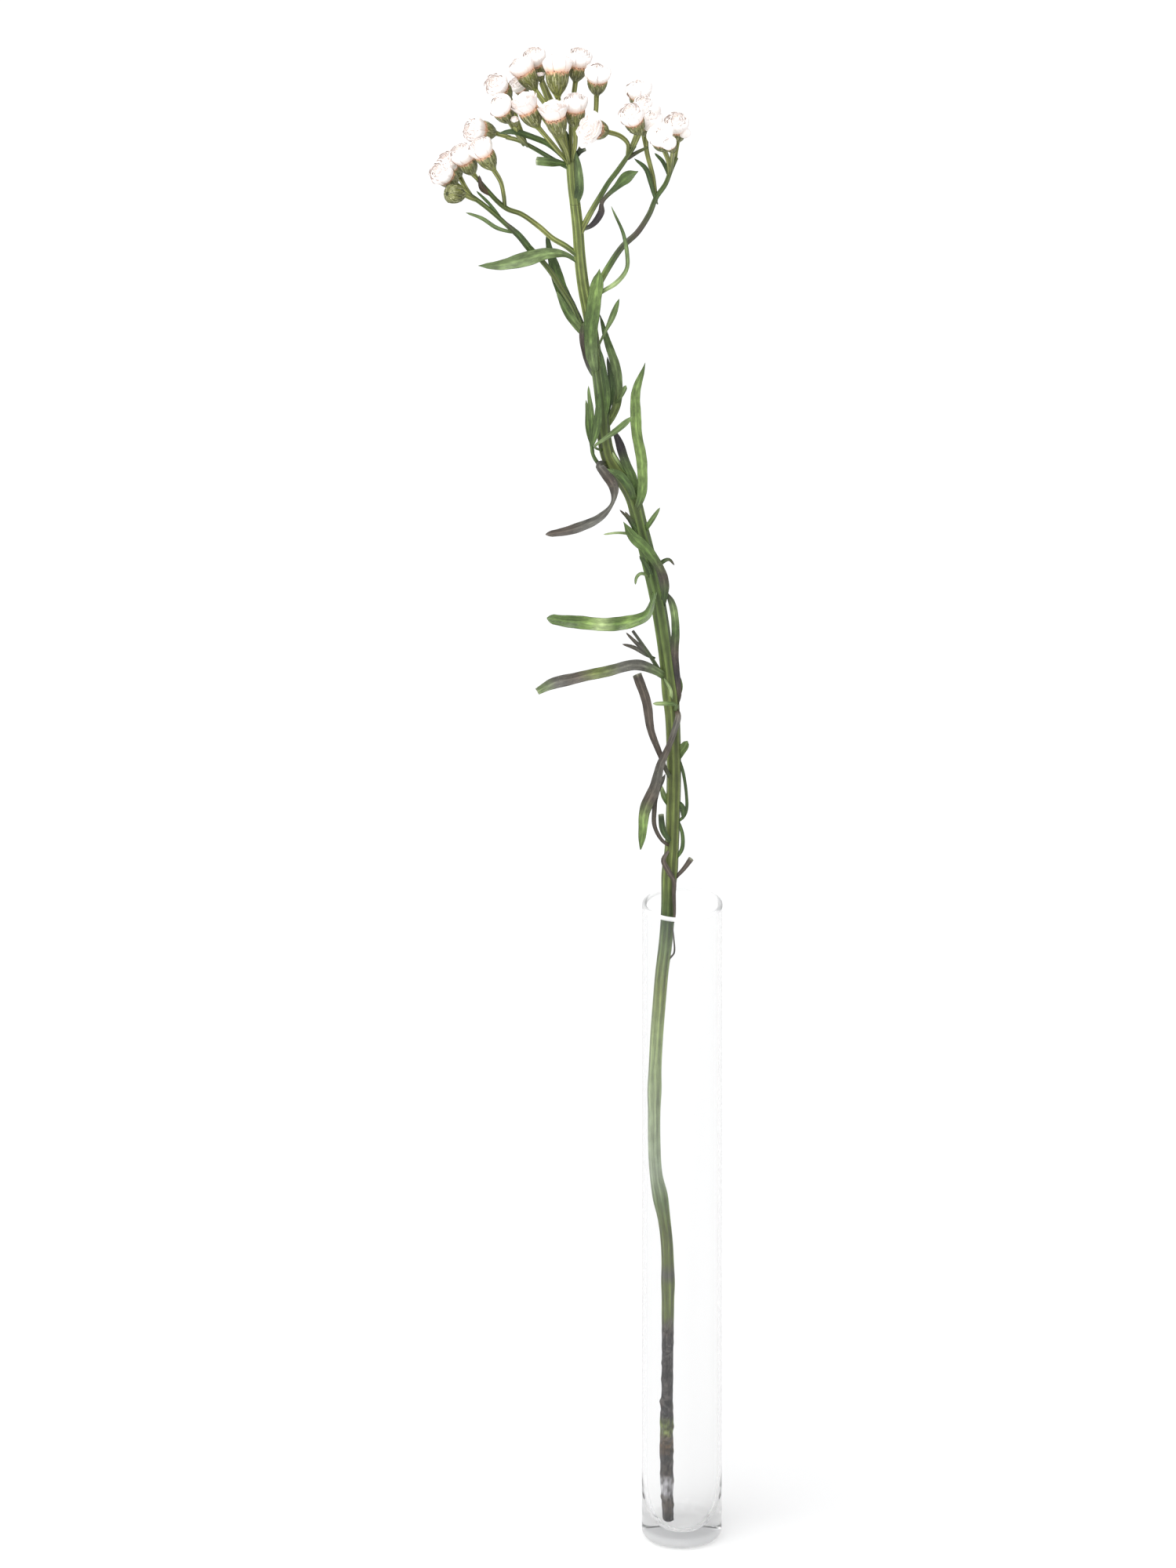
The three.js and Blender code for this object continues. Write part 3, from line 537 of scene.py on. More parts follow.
@dataclass(frozen=True)
class ClearGlass(Finish):
    """Drawn soda-lime glass: its body greys the light a little, so the thick base and edges show.

    A centimetre of it takes up a ninth of the light. A faint bloom of dust and dried water dulls
    its surface. The rim, cut and ground, is matt, so it stays light against the wall, and the foot
    is scuffed, which softens the dark edges that a thick base shows. Both heights are in metres.
    """

    ior: float = 1.16
    clearness: float = 0.984
    colour: str = "#fefefe"
    passed: tuple[float, float, float] = (0.51, 0.515, 0.515)
    density: float = 25.0
    ground_above: float = 0.2588
    ground: float = 0.5
    rim_clearness: float = 0.55
    scuffed_below: float = 0.005
    foot_clearness: float = 0.86

    def volume(self, made: bpy.types.Material) -> bpy.types.Node:
        """The glass's body, which takes up light along the way through it."""
        return add_node(
            made, "VolumeAbsorption", color=(*self.passed, 1.0), density=self.density
        )

    def surface(self, made: bpy.types.Material) -> bpy.types.Node:
        """A shader that lets the light through: matt at the ground rim and cloudy at the scuffed foot.

        Args:
            made: The material that gets the nodes.

        Returns:
            The node that shades the surface.
        """
        where = add_node(made, "TexCoord")
        height = add_node(made, "SeparateXYZ", vector=where.outputs["Object"]).outputs[2]
        below, above = self.ground_above - MM / 4, self.ground_above
        matt = graded(made, height, (below, 0.0), (above, self.ground))
        clear = graded(made, height, (below, self.clearness), (above, self.rim_clearness))
        low, high = self.scuffed_below - MM, self.scuffed_below + MM
        scuffed = graded(made, height, (low, self.foot_clearness), (high, 1.0))
        through = add_node(made, "Math", {"operation": "MINIMUM"}, n0=clear, n1=scuffed)
        return add_node(
            made,
            "BsdfPrincipled",
            base_color=opaque(self.colour),
            roughness=matt,
            ior=self.ior,
            transmission_weight=through.outputs[0],
        )


@dataclass(frozen=True)
class DriedGreen(Finish):
    """Air-dried leaf and stem tissue: dull waxy green with fine lengthwise veins and pale gland dots.

    On a leaf the veins lie about half a millimetre apart and run for some 3 mm. The patches are
    about 4 mm wide, and the gland dots about 0.2 mm wide and 1 mm apart.
    """

    roughness: float = 0.5
    veins_per_width: float = 9.0
    vein_depth: float = 0.4
    dots: float = 0.5
    patches: float = 0.17
    run: float = 0.35
    vein_shades: tuple[float, float] = (0.58, 1.2)
    patches_per_metre: float = 260.0
    patch_span: tuple[float, float] = (0.32, 0.68)
    dots_per_metre: float = 950.0
    dot_edge: tuple[float, float] = (0.04, 0.13)
    dot_colour: str = "#aab27e"
    relief: float = 0.2 * MM
    ior: float = 1.45

    def surface(self, made: bpy.types.Material) -> bpy.types.Node:
        """Tint from the piece, darker between the veins and dotted with pale glands.

        Args:
            made: The material that gets the nodes.

        Returns:
            The node that shades the surface.
        """
        veins = drawn_out(made, self.veins_per_width, self.run, 6.0)
        groove, vein = self.vein_shades
        # Darker between the raised veins and lighter on them: painted shade in the grooves, with the
        # veins' own paler colour
        shade = graded(made, veins, (NOISE_LOW, groove), (NOISE_HIGH, vein))
        place = add_node(made, "TexCoord").outputs["Object"]
        blotch = add_node(made, "TexNoise", vector=place, scale=self.patches_per_metre, detail=6.0)
        low, high = self.patch_span
        dull, bright = 1 - self.patches, 1 + self.patches
        patchy = graded(made, blotch.outputs[0], (low, dull), (high, bright))
        both = add_node(made, "Math", {"operation": "MULTIPLY"}, n0=shade, n1=patchy)
        veined = shaded_tint(made, both.outputs[0])
        gland = add_node(made, "TexVoronoi", vector=place, scale=self.dots_per_metre)
        full, gone = self.dot_edge
        dot = graded(made, gland.outputs["Distance"], (full, self.dots), (gone, 0.0))
        dotted = add_node(
            made, "Mix", {"data_type": "RGBA"}, n0=dot, n6=veined, n7=opaque(self.dot_colour)
        )
        raised = add_node(
            made, "Bump", strength=self.vein_depth, distance=self.relief, height=veins
        )
        return add_node(
            made,
            "BsdfPrincipled",
            base_color=dotted.outputs[2],
            roughness=self.roughness,
            ior=self.ior,
            normal=raised.outputs[0],
        )


@dataclass(frozen=True)
class PaperyBract(Finish):
    """Dry bract tissue as thin as paper: white and dull, creased lengthwise, warm where it is thick.

    A weak glow stands for the light that comes through it, and keeps its folds from going grey.
    """

    crease: float = 0.22
    glow: float = 0.07
    glow_colour: str = "#f4e9e4"
    creases_per_width: float = 7.0
    run: float = 0.35
    crease_shades: tuple[float, float] = (0.93, 1.04)
    relief: float = 0.2 * MM
    roughness: float = 0.6
    ior: float = 1.4

    def surface(self, made: bpy.types.Material) -> bpy.types.Node:
        """Tint from the piece with fine creases that run along each bract.

        Args:
            made: The material that gets the nodes.

        Returns:
            The node that shades the surface.
        """
        creases = drawn_out(made, self.creases_per_width, self.run, 4.0)
        hollow, ridge = self.crease_shades
        # Darker in the creases and lighter on their ridges: painted shade and light
        shade = graded(made, creases, (NOISE_LOW, hollow), (NOISE_HIGH, ridge))
        raised = add_node(
            made, "Bump", strength=self.crease, distance=self.relief, height=creases
        )
        return add_node(
            made,
            "BsdfPrincipled",
            base_color=shaded_tint(made, shade),
            emission_color=opaque(self.glow_colour),
            emission_strength=self.glow,
            roughness=self.roughness,
            ior=self.ior,
            normal=raised.outputs[0],
        )


@dataclass(frozen=True)
class StudioFloor(Finish):
    """White acrylic sheet lit from below: an even matt white that shines up into clear glass."""

    glow: float = 0.51
    colour: str = "#a0a0a0"
    roughness: float = 0.9
    ior: float = 1.3

    def surface(self, made: bpy.types.Material) -> bpy.types.Node:
        """An even dull white that gives off a part of its light itself.

        Args:
            made: The material that gets the nodes.

        Returns:
            The node that shades the surface.
        """
        return add_node(
            made,
            "BsdfPrincipled",
            base_color=opaque(self.colour),
            roughness=self.roughness,
            ior=self.ior,
            emission_color=opaque("#ffffff"),
            emission_strength=self.glow,
        )


GLASS = ClearGlass("drawn_soda_lime_glass")
LEAF = DriedGreen("air_dried_leaf_tissue")
GLOSSY_LEAF = DriedGreen("waxy_dried_leaf_tissue", roughness=0.3, vein_depth=0.7)
STALK = DriedGreen(
    "air_dried_ribbed_stem", roughness=0.55, veins_per_width=14.0, dots=0.15, patches=0.14, run=0.1
)
SCALE = DriedGreen("dried_involucre_scale", roughness=0.55, veins_per_width=5.0, dots=0.0)
BRACT = PaperyBract("papery_white_bract")
BACKDROP = StudioFloor("matt_white_acrylic_sheet")


# The vase


@dataclass
class TubeVase:
    """A clear tube with a thick flat base, a rounded heel, a bowl-shaped inner floor and a round rim."""

    wall: float = 1.6
    floor: float = 3.0
    bowl_depth: float = 24.0
    bowl_power: float = 2.6
    heel: float = 3.0
    rim: float = 0.75
    hold: float = 0.1
    pole: float = 0.02
    columns: int = 160
    arc_steps: int = 13
    bowl_steps: int = 49
    wall_steps: int = 24

    def profile(self, radius: float, height: float) -> np.ndarray:
        """The wall's outline from the middle of the underside round to the middle of the inner floor.

        The heel is a quarter of a circle and the rim half an ellipse. The bowl draws in as the
        cosine, and down as the sine, of a quarter turn, each to the power of 2 over the bowl's
        power. A ring just inside each end of the straight walls keeps their shading straight.

        Args:
            radius: The tube's outer radius.
            height: Its height.

        Returns:
            Rows of radius and height.
        """
        inner, half_wall = radius - self.wall, self.wall / 2
        turn = np.linspace(0, math.pi / 2, self.arc_steps)
        heel = grid(radius - self.heel + self.heel * np.sin(turn), self.heel * (1 - np.cos(turn)))
        over = np.linspace(0, math.pi, self.arc_steps)
        rim_top = height - self.rim + self.rim * np.sin(over)
        rim = grid(radius - half_wall + half_wall * np.cos(over), rim_top)
        quarter = np.linspace(0, 1, self.bowl_steps) ** 1.3 * math.pi / 2
        power = 2 / self.bowl_power
        sunk = self.bowl_depth * (1 - np.sin(quarter) ** power)
        bowl = grid(inner * np.cos(quarter) ** power, self.floor + sunk)
        up = np.linspace(self.heel, height - self.rim, self.wall_steps)[1:-1]
        up = np.concatenate([[self.heel + self.hold], up, [height - self.rim - self.hold]])
        bowl_top = self.floor + self.bowl_depth
        down = np.append(up[up > bowl_top + 1][::-1], bowl_top + self.hold)
        walls = grid(radius, up), grid(inner, down)
        ends = [self.pole, 0], [self.pole, self.floor]
        return np.vstack([ends[0], heel, walls[0], rim, walls[1], bowl[:-1], ends[1]])

    def build(self) -> bpy.types.Object:
        """Turns the outline round the axis: each point goes round a circle of its own radius.

        Returns:
            The vase.
        """
        low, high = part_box("vase")
        outline = self.profile((high.x - low.x) / 2 / MM, high.z / MM)
        turn = turns(self.columns)
        radius, height = outline[:, :1], outline[:, 1:]
        rings = grid(radius * np.cos(turn), radius * np.sin(turn), height)
        skin = Skin.loft(rings[None], np.ones(3), grid(turn, height)[None])
        return skin.piece("vase_glass", GLASS, "vase", "clear_glass")


# Leaves, twigs and the stem


@dataclass(frozen=True)
class Leaf:
    """A narrow leaf through x, y, z, width knots from its foot to its tip, in tones along it.

    A swell or sway is its depth and how often it comes. The midrib, the line inside the margins and
    the painted shade along the very edge are each how strong, how far out from the middle, and how
    wide.
    """

    tones: str
    knots: tuple[tuple[float, float, float, float], ...]
    cut: bool = False
    blunt: float = 14.0

    thickness = 0.42
    columns = 24
    fold = 0.3
    fold_power = 1.6
    wave = 0.11
    swells = ((0.03, 0.4), (0.015, 1.1))
    sway = (0.12, 0.35)
    narrowest = 0.35
    per_knot = 24
    step = 0.8
    foot_length = 2.4
    foot_sink = 0.9
    foot_width = 0.45
    cut_reach = 0.9
    midrib = (0.75, 0.0, 0.1)
    margin_line = (0.25, 0.82, 0.08)
    # Painted shade along the very edge of the blade: how strong, from how far out, over how wide
    painted_edge_shade = (0.55, 0.88, 0.12)

    def course(self) -> np.ndarray:
        """The knots' curve, with a narrow foot before them that runs back into what bears the leaf.

        Returns:
            Rows of x, y, z and width, a step apart.
        """
        knots = np.array(self.knots, float)
        back = knots[0, :3] - knots[1, :3]
        back *= min(1, self.foot_length / np.linalg.norm(back))
        foot = np.append(knots[0, :3] + back + [0, self.foot_sink, 0], knots[0, 3] * self.foot_width)
        return evenly(spline(np.vstack([foot, knots]), self.per_knot * len(knots)), self.step)

    def skin(self, rng: np.random.Generator) -> Skin:
        """Lofts the blade.

        The width swells and the course sways by sines of the distance along. Across, a ring is an
        ellipse of half the width and the thickness. The edges rise towards the face by the fold
        times the share of the way out to the fold's power, and ripple as a sine of the distance
        along. The midrib and a line inside the margins are paler than the blade by bell curves,
        and the very edge is darkened with painted shade. A cut leaf is pale at its end.

        Args:
            rng: The seeded source of the ripple's phase and of the mottling.

        Returns:
            The blade's skin.
        """
        course = self.course()
        path, width = course[:, :3], np.maximum(course[:, 3], self.narrowest)
        rows = len(path)
        share = np.linspace(0, 1, rows)
        phase = rng.uniform(0, PHASES, 4)
        run = along(path)
        waves = (deep * np.sin(often * run + at) for (deep, often), at in zip(self.swells, phase))
        width = width * sum(waves, start=1)
        if not self.cut:
            width = width * np.sqrt(np.clip((1 - share) * self.blunt, 0.02, 1))
        side, out = frames(path, LEAF_FACE)
        far, often = self.sway
        path = path + side * (far * np.sin(often * run + phase[2]))[:, None]
        turn = turns(self.columns)
        across = np.cos(turn)[None, :]
        reach = np.abs(across)
        half = width[:, None] / 2
        run = run[:, None]
        ripple = np.sin(run * rng.uniform(0.5, 0.9) + phase[3] + 1.3 * np.sign(across))
        lift = half * self.fold * reach**self.fold_power + half * self.wave * reach**2 * ripple
        thin = self.thickness / 2 * np.minimum(1, half) * np.sin(turn)[None, :] * (1 - 0.5 * reach**2)
        rings = (
            path[:, None]
            + side[:, None] * (across * half)[..., None]
            + out[:, None] * (lift + thin)[..., None]
        )
        tint = chart(tone_chart(self.tones), share)[:, None, :]
        if self.cut:
            fresh = ramp(run - run[-1], -self.cut_reach, 0.5)[..., None] * 0.5
            tint = blend(tint, Tone.CUT.row, fresh)
        pale = sum(much * bell(reach, *line) for much, *line in (self.midrib, self.margin_line))
        uneven = mottle((rows, self.columns), (max(2, rows // 4), 8), rng)
        # The very edge of the blade is darkened with painted shade
        darker, *edge = self.painted_edge_shade
        shade = (0.96 + 0.26 * uneven) * (1 - darker * ramp(reach, *edge))
        tint = tint * (shade * (1 + pale))[..., None]
        return Skin.loft(rings[None], tint[None], grid((across + 1) / 2, run)[None])


def leaf(tones: str, *knots: tuple, cut: bool = False, blunt: float = 14.0) -> Leaf:
    """A leaf from its tones and its knots written one after another."""
    return Leaf(tones, knots, cut, blunt)


@dataclass(frozen=True)
class Twig:
    """A slender ribbed stalk through knots, thinner or thicker towards its tip."""

    knots: tuple[tuple[float, float, float], ...]
    radii: tuple[float, float]
    tones: str

    columns = 16
    ribs = 5
    rib_height = 0.09
    rib_turn = 1.5
    per_knot = 24
    step = 0.8

    def skin(self, rng: np.random.Generator) -> Skin:
        """Lofts the stalk: a circle along the course, raised by a cosine of five ribs a turn.

        Args:
            rng: The seeded source of the mottling and the ribs' turn.

        Returns:
            The stalk's skin.
        """
        course = spline(np.array(self.knots, float), self.per_knot * len(self.knots))
        path = evenly(course, self.step)
        share = np.linspace(0, 1, len(path))[:, None]
        turn = turns(self.columns)[None, :]
        rib = np.cos(self.ribs * turn + share * self.rib_turn + rng.uniform(0, 6))
        uneven = mottle((len(path), self.columns), (max(2, len(path) // 6), 4), rng)
        foot, tip = self.radii
        radius = (foot + (tip - foot) * share) * (1 + self.rib_height * rib + 0.05 * uneven)
        tint = chart(tone_chart(self.tones), share[:, 0])[:, None, :]
        # The tint is lighter on the ribs and darker between them: painted light on the ridges and painted
        # shade in the grooves
        return Skin.stalk(path, turn, radius, tint * (0.92 + 0.5 * rib + 0.2 * uneven)[..., None])


@dataclass
class MainStem:
    """The ribbed main stem, with painted light on its ridges and painted shade in its grooves, dark
    and scarred where it stood in water.

    The radii and tones are by height. A knob is its height, its rise and its half height, a scar's
    halves are a turn and a height, and the stretch under a painted veil of the glass's reflection is
    its middle and half height.
    """

    course: tuple[tuple[float, float, float], ...]
    radii: tuple[tuple[float, float], ...]
    knobs: tuple[tuple[float, float, float], ...]
    tones: tuple[tuple[float, Tone], ...]
    scars: int = 44
    columns: int = 72
    ribs: int = 7
    rib_height: float = 0.075
    rib_turn: float = 0.012
    sharpness: float = 2.2
    per_knot: int = 30
    step: float = 0.7
    scar_half: tuple[float, float] = (0.4, 1.1)
    scar_rise: float = 0.35
    scar_cover: float = 0.7
    most_speck: float = 0.22
    darkest: float = 0.2
    waterline: float = 92.0
    wet_fade: float = 9.0
    lowest_scar: float = 9.0
    # Middle and half height of a paler stretch: a painted veil of the glass's reflection over the stem
    painted_glass_veil: tuple[float, float] = (170.0, 60.0)

    def skin(self, low: float, high: float, rng: np.random.Generator) -> Skin:
        """Lofts the stem between two heights.

        The radius follows the chart of radii and a bell curve at each knob. Ribs raise it by the
        rib height times a sharpened cosine, and each scar is a bell curve in height and turn.
        Ridges get painted light and grooves painted shade. Below the waterline the bark is rough and
        scarred. There, and in a stretch made paler as a painted veil of the glass's reflection, the
        ridges show less.

        Args:
            low: Height of the lower end.
            high: Height of the upper end.
            rng: The seeded source of the scars and the mottling.

        Returns:
            The stem's skin.
        """
        course = spline(np.array(self.course, float), self.per_knot * len(self.course))
        path = evenly(course, self.step)
        path = path[(path[:, 2] >= low) & (path[:, 2] <= high)]
        rows = len(path)
        z = path[:, 2:]
        at, value = np.array(self.radii).T
        radius = np.interp(z, at, value)
        for where, extra, half in self.knobs:
            radius = radius + extra * bell(z, where, half)
        turn = turns(self.columns)[None, :]
        ridge = (np.cos(self.ribs * turn + z * self.rib_turn) * 0.5 + 0.5) ** self.sharpness
        uneven = mottle((rows, self.columns), (max(2, rows // 24), 9), rng)
        rough = np.clip((self.waterline - z) / self.wet_fade, 0, 1)
        bark = mottle((rows, self.columns), (max(2, rows // 2), 16), rng) * rough
        wide, tall = self.scar_half
        scar = np.zeros((2, rows, self.columns))
        for number, where in enumerate(rng.uniform(self.lowest_scar, self.waterline, self.scars)):
            off = np.angle(np.exp(1j * (turn - rng.uniform(0, 2 * math.pi))))
            scar[number % 2] += np.exp(-((off / wide) ** 2) - ((z - where) / tall) ** 2)
        rib = self.rib_height * (ridge * 2 - 0.7) * (1 - 0.6 * rough)
        full = radius * (1 + rib + 0.03 * uneven + 0.06 * bark) + self.scar_rise * scar.sum(axis=0)

        heights, tones = zip(*self.tones)
        colours = np.array([tone.row for tone in tones])
        tint = grid(*(np.interp(z[:, 0], heights, part) for part in colours.T))[:, None, :]
        # The painted veil of the glass's reflection: the stem is paler and its painted ridge shade weaker
        # here
        painted_glass_veil = bell(z, *self.painted_glass_veil)
        # The ridges are lightened and the grooves darkened: painted light and shade, weaker below the
        # waterline and in the paler stretch inside the vase
        depth = 0.75 - 0.5 * rough - 0.35 * painted_glass_veil
        light = 0.66 + depth * ridge + 0.16 * uneven + 0.04 * rough + 0.14 * painted_glass_veil + 0.8 * bark
        tint = tint * np.maximum(light, self.darkest)[..., None]
        speck = mottle((rows, self.columns), (rows, 24), rng)
        speck = (np.clip((speck - 0.45) / 0.3, 0, self.most_speck) * rough)[..., None]
        tint = blend(tint, Tint.BARK_SPECK.row, speck)
        cover = np.clip(scar, 0, 1)[..., None] * self.scar_cover
        # Half the scars are dark brown; the others pale grey, partly worn bark and partly a painted
        # highlight
        for share, colour in zip(cover, (Tint.FRESH_SCAR, Tint.WORN_SCAR_AND_GLINT)):
            tint = blend(tint, colour.row, share)
        return Skin.stalk(path, turn, full, tint)


# Heads


@dataclass(frozen=True)
class Habit:
    """How bracts stand: their reach from the axis, rise, inward curl, half width and count a ring."""

    foot: float
    belly: float
    tip: float
    rise: float
    curl: float
    broad: float
    rings: tuple[int, ...]


class Bloom(Enum):
    """The ways that crowns open."""

    UPRIGHT = Habit(3.2, belly=4.75, tip=4.4, rise=6.3, curl=0.6, broad=2.5, rings=(8, 7, 6, 4))
    SPLAYED = Habit(3.2, belly=4.6, tip=5.4, rise=5.9, curl=0.0, broad=2.6, rings=(8, 7, 6, 4))
    BALL = Habit(3.3, belly=4.95, tip=3.9, rise=6.0, curl=1.3, broad=3.3, rings=(6, 5, 4, 3))
    BUD = Habit(2.9, belly=3.8, tip=4.0, rise=2.6, curl=0.2, broad=2.2, rings=(6, 5, 3))


@dataclass(frozen=True)
class Head:
    """A flower head: a green cup of overlapping scales and a crown of white bracts round florets.

    Sizes are those of a head of size 1. The limits are how far up the scales start, and the height
    that no tip passes. A crumple is its depth and how often it runs across and along a bract.
    """

    name: str
    foot: tuple[float, float, float]
    axis: tuple[float, float, float]
    pedicel: tuple[tuple[float, float, float], ...]
    size: float = 1.0
    bloom: Bloom = Bloom.UPRIGHT
    closed: bool = False
    # How much stronger the painted shade in the crown's folds is on this head
    fold_shade: float = 0.0
    stretch: tuple[float, float] = (1.0, 1.0)

    seat_height = 0.7
    mouth = 8.5
    dome = 10.15
    band_from = 7.0
    scales = 128
    crowd = 1.3
    lowest_scale = 0.3
    scale_length = 3.4
    scale_half = 0.66
    ripe_from = 7.9
    open_limits = (5.5, 9.0)
    closed_limits = (8.2, 10.1)
    bract_foot = 7.6
    shrink = 0.8
    overlap = 0.26
    cupping = 0.08
    widest = 5.7
    crumples = ((0.09, 2.6, 3.0), (0.04, 6.3, -3.0), (0.03, 0.0, 7.0))
    tuft_foot = 7.5
    florets = 14
    floret_spread = 1.6
    floret_reach = 1.5

    core_mesh = (20, 24)
    scale_mesh = (8, 8)
    bract_mesh = (16, 20)
    tuft_mesh = (9, 20)
    floret_mesh = (5, 6)

    cup_heights = (0.0, 0.5, 1.2, 2.2, 3.6, 5.2, 6.8, 8.0, 8.6, 9.3, 10.2)
    cup_radii = (0.9, 1.0, 1.35, 2.15, 2.95, 3.45, 3.65, 3.6, 3.4, 2.7, 0.3)

    @property
    def ripeness(self) -> float:
        """How far the scales at the mouth have coloured: not at all on closed heads and buds."""
        return 0.0 if self.closed or self.size < 0.5 else 1.0

    def stand(
        self,
        out: np.ndarray,
        turn: np.ndarray,
        height: np.ndarray,
        stretch: tuple[float, float] = (1.0, 1.0),
    ) -> np.ndarray:
        """Points at a reach, a turn and a height of the head's own axis, for a head of size 1.

        Args:
            out: Distance from the axis.
            turn: Turn about the axis in radians.
            height: Height above the head's foot.
            stretch: Factors on the two directions across the axis.

        Returns:
            The points in the part's frame.
        """
        axis = np.array(self.axis) / np.linalg.norm(self.axis)
        first = np.cross([0.0, 1.0, 0.0], axis)
        first = np.array([1.0, 0.0, 0.0]) if np.linalg.norm(first) < 1e-3 else first
        first = first / np.linalg.norm(first)
        second = np.cross(axis, first)
        local = (
            (out * np.cos(turn))[..., None] * first * stretch[0]
            + (out * np.sin(turn))[..., None] * second * stretch[1]
            + height[..., None] * axis
        )
        return np.array(self.foot) + self.size * local

    def seat(self) -> tuple[float, float, float]:
        """The point inside the cup's foot that its pedicel runs up to."""
        return tuple(self.stand(np.zeros(1), np.zeros(1), np.array([self.seat_height]))[0])

    def core(self) -> Skin:
        """The cup's core: its profile turned round the axis, with a peach band under an open mouth.

        Returns:
            The core's skin.
        """
        top = self.dome if self.closed else self.mouth
        height, turn = surface_grid(*self.core_mesh, last=top)
        reach = np.interp(height, self.cup_heights, self.cup_radii)
        points = self.stand(reach, turn, height)
        # The core darkens above its foot as painted shade in the gaps between the scales
        tint = blend(Tint.CUP_FOOT.row, Tint.CUP_CORE.row, ramp(height, 0, 3.5)[..., None])
        band = ramp(height, self.band_from, 0.8)[..., None] * self.ripeness
        tint = blend(tint, Tint.CUP_BAND.row, band)
        return Skin.loft(points[None], tint[None], np.zeros(2))

    def cup(self, rng: np.random.Generator) -> Skin:
        """The cup's core with its scales laid over it on a golden-angle spiral.

        Scale number i starts at a height that grows with i and covers the core up to a pointed tip
        that lifts a little off it.

        Args:
            rng: The seeded source of small differences between scales.

        Returns:
            The cup's skin.
        """
        climb, ceiling = self.closed_limits if self.closed else self.open_limits
        number = np.arange(self.scales)[:, None, None]
        rank = number / self.scales
        share, ring = surface_grid(*self.scale_mesh)
        across = np.cos(ring)
        low = self.lowest_scale + climb * np.minimum(1, rank * self.crowd) ** 0.8
        grow = self.scale_length * (0.8 + 0.2 * rank) + rng.uniform(-0.35, 0.25, number.shape)
        level = np.minimum(low + grow * share, ceiling)
        half = self.scale_half * (0.8 + 0.35 * rank) * (1 - share**4) ** 0.8
        half = np.maximum(half * (0.8 + 0.2 * np.sin(math.pi * share)), 0.04)
        covered = level if self.closed else np.minimum(level, self.ripe_from)
        under = np.interp(covered, self.cup_heights, self.cup_radii)
        lift = 0.03 + 0.08 * share**2 + rng.uniform(0, 0.08, number.shape)
        thick = 0.07 * np.sin(ring) * (1 - 0.5 * share)
        spin = number * GOLDEN_ANGLE + rng.uniform(-0.1, 0.1, number.shape)
        bend = -0.2 * across**2 * half
        where = spin + across * half / np.maximum(under, 0.6)
        points = self.stand(under + lift + thick + bend, where, level)

        # The scale's edges are darkened as painted shade
        far = np.abs(across)[..., None] ** 3
        tint = blend(Tint.SCALE.row, Tint.SCALE_EDGE_SHADE.row, far)
        # A pale streak down the middle: partly the scale's own colour and partly a painted highlight
        middle = bell(across, 0, 0.35) * rng.uniform(-0.2, 0.9, number.shape).clip(0) * share**0.5
        tint = blend(tint, Tint.SCALE_STREAK_AND_HIGHLIGHT.row, middle[..., None])
        young = 0.85 * np.clip(1.25 - level / 2.4, 0, 1)[..., None]
        tint = blend(tint, Tint.CUP_FOOT.row, young)
        shade = rng.uniform(0.6, 1.3, (*number.shape, 1))
        ripe = ramp(low + grow, self.ripe_from, 0.5) * self.ripeness
        warm = (ramp(share, 0.55, 0.12) * ripe)[..., None]
        tint = blend(tint * shade, Tint.SCALE_MARGIN.row, warm)
        spot = ramp(share, 0.7, 0.1) * np.exp(-((across / 0.8) ** 4))
        brown = (spot * ripe * (rng.uniform(0, 1, number.shape) > 0.35))[..., None]
        tint = blend(tint, Tint.SCALE_TIP.row, brown)
        places = grid((across + 1) / 2, level + number)
        return Skin.joined([self.core(), Skin.loft(points, tint, places)])

    def crown(self, rng: np.random.Generator) -> Skin:
        """Broad papery bracts in rings, the inner ones closing over a tuft of florets.

        Along a bract the reach goes foot, belly, tip by a parabola through the bloom's three
        reaches, shrinks towards the middle of the head and curls in as a square near the tip. The
        height eases as a cubic. The half width grows as a sine and ends in a blunt round tip. One
        edge stands out over the next bract, and low sine waves at random phases crumple the bract.

        Args:
            rng: The seeded source of the crumples.

        Returns:
            The crown's skin.
        """
        habit = self.bloom.value
        number = np.repeat(np.arange(len(habit.rings)), habit.rings)[:, None, None]
        place = np.concatenate([np.arange(count) / count for count in habit.rings])[:, None, None]
        inner = number / len(habit.rings)
        share, ring = surface_grid(*self.bract_mesh, last=0.995)
        across = np.cos(ring)
        jig = rng.uniform(-1, 1, (4, *place.shape))
        phase = rng.uniform(0, PHASES, (4, *place.shape))
        outer = np.maximum(share - 0.5, 0) / 0.5
        curve = habit.foot * (1 - share) * (1 - 2 * share) + 4 * habit.belly * share * (1 - share)
        curve = curve + habit.tip * share * (2 * share - 1)
        curve = curve - habit.curl * outer**2 + 0.15 * (0.2 + share) * jig[0]
        reach = curve * (1 - self.shrink * inner) * (1 - 0.3 * inner * share)
        tall = habit.rise * (0.86 + 0.2 * inner) * (1 + 0.08 * jig[1])
        height = self.bract_foot + 0.4 * inner + tall * share * (1.3 - 0.3 * share**2)
        rising = 0.75 + 0.25 * np.sin(math.pi / 2 * np.minimum(share / 0.5, 1))
        round_end = np.sqrt(np.clip(1 - outer**4, 0.0005, 1))
        half = habit.broad * (1 - 0.55 * inner) * (1 + 0.12 * jig[2]) * rising * round_end
        spin = 2 * math.pi * place + 1.1 * number + 0.15 * jig[3]
        crumple = (0.2 + share) * sum(
            deep * np.sin(wide * across + far * share + start)
            for (deep, wide, far), start in zip(self.crumples, phase)
        )
        lap = self.overlap * across * np.minimum(1, share / 0.3)
        hollow = lap - self.cupping * across**2 * half * (1 - 0.6 * share)
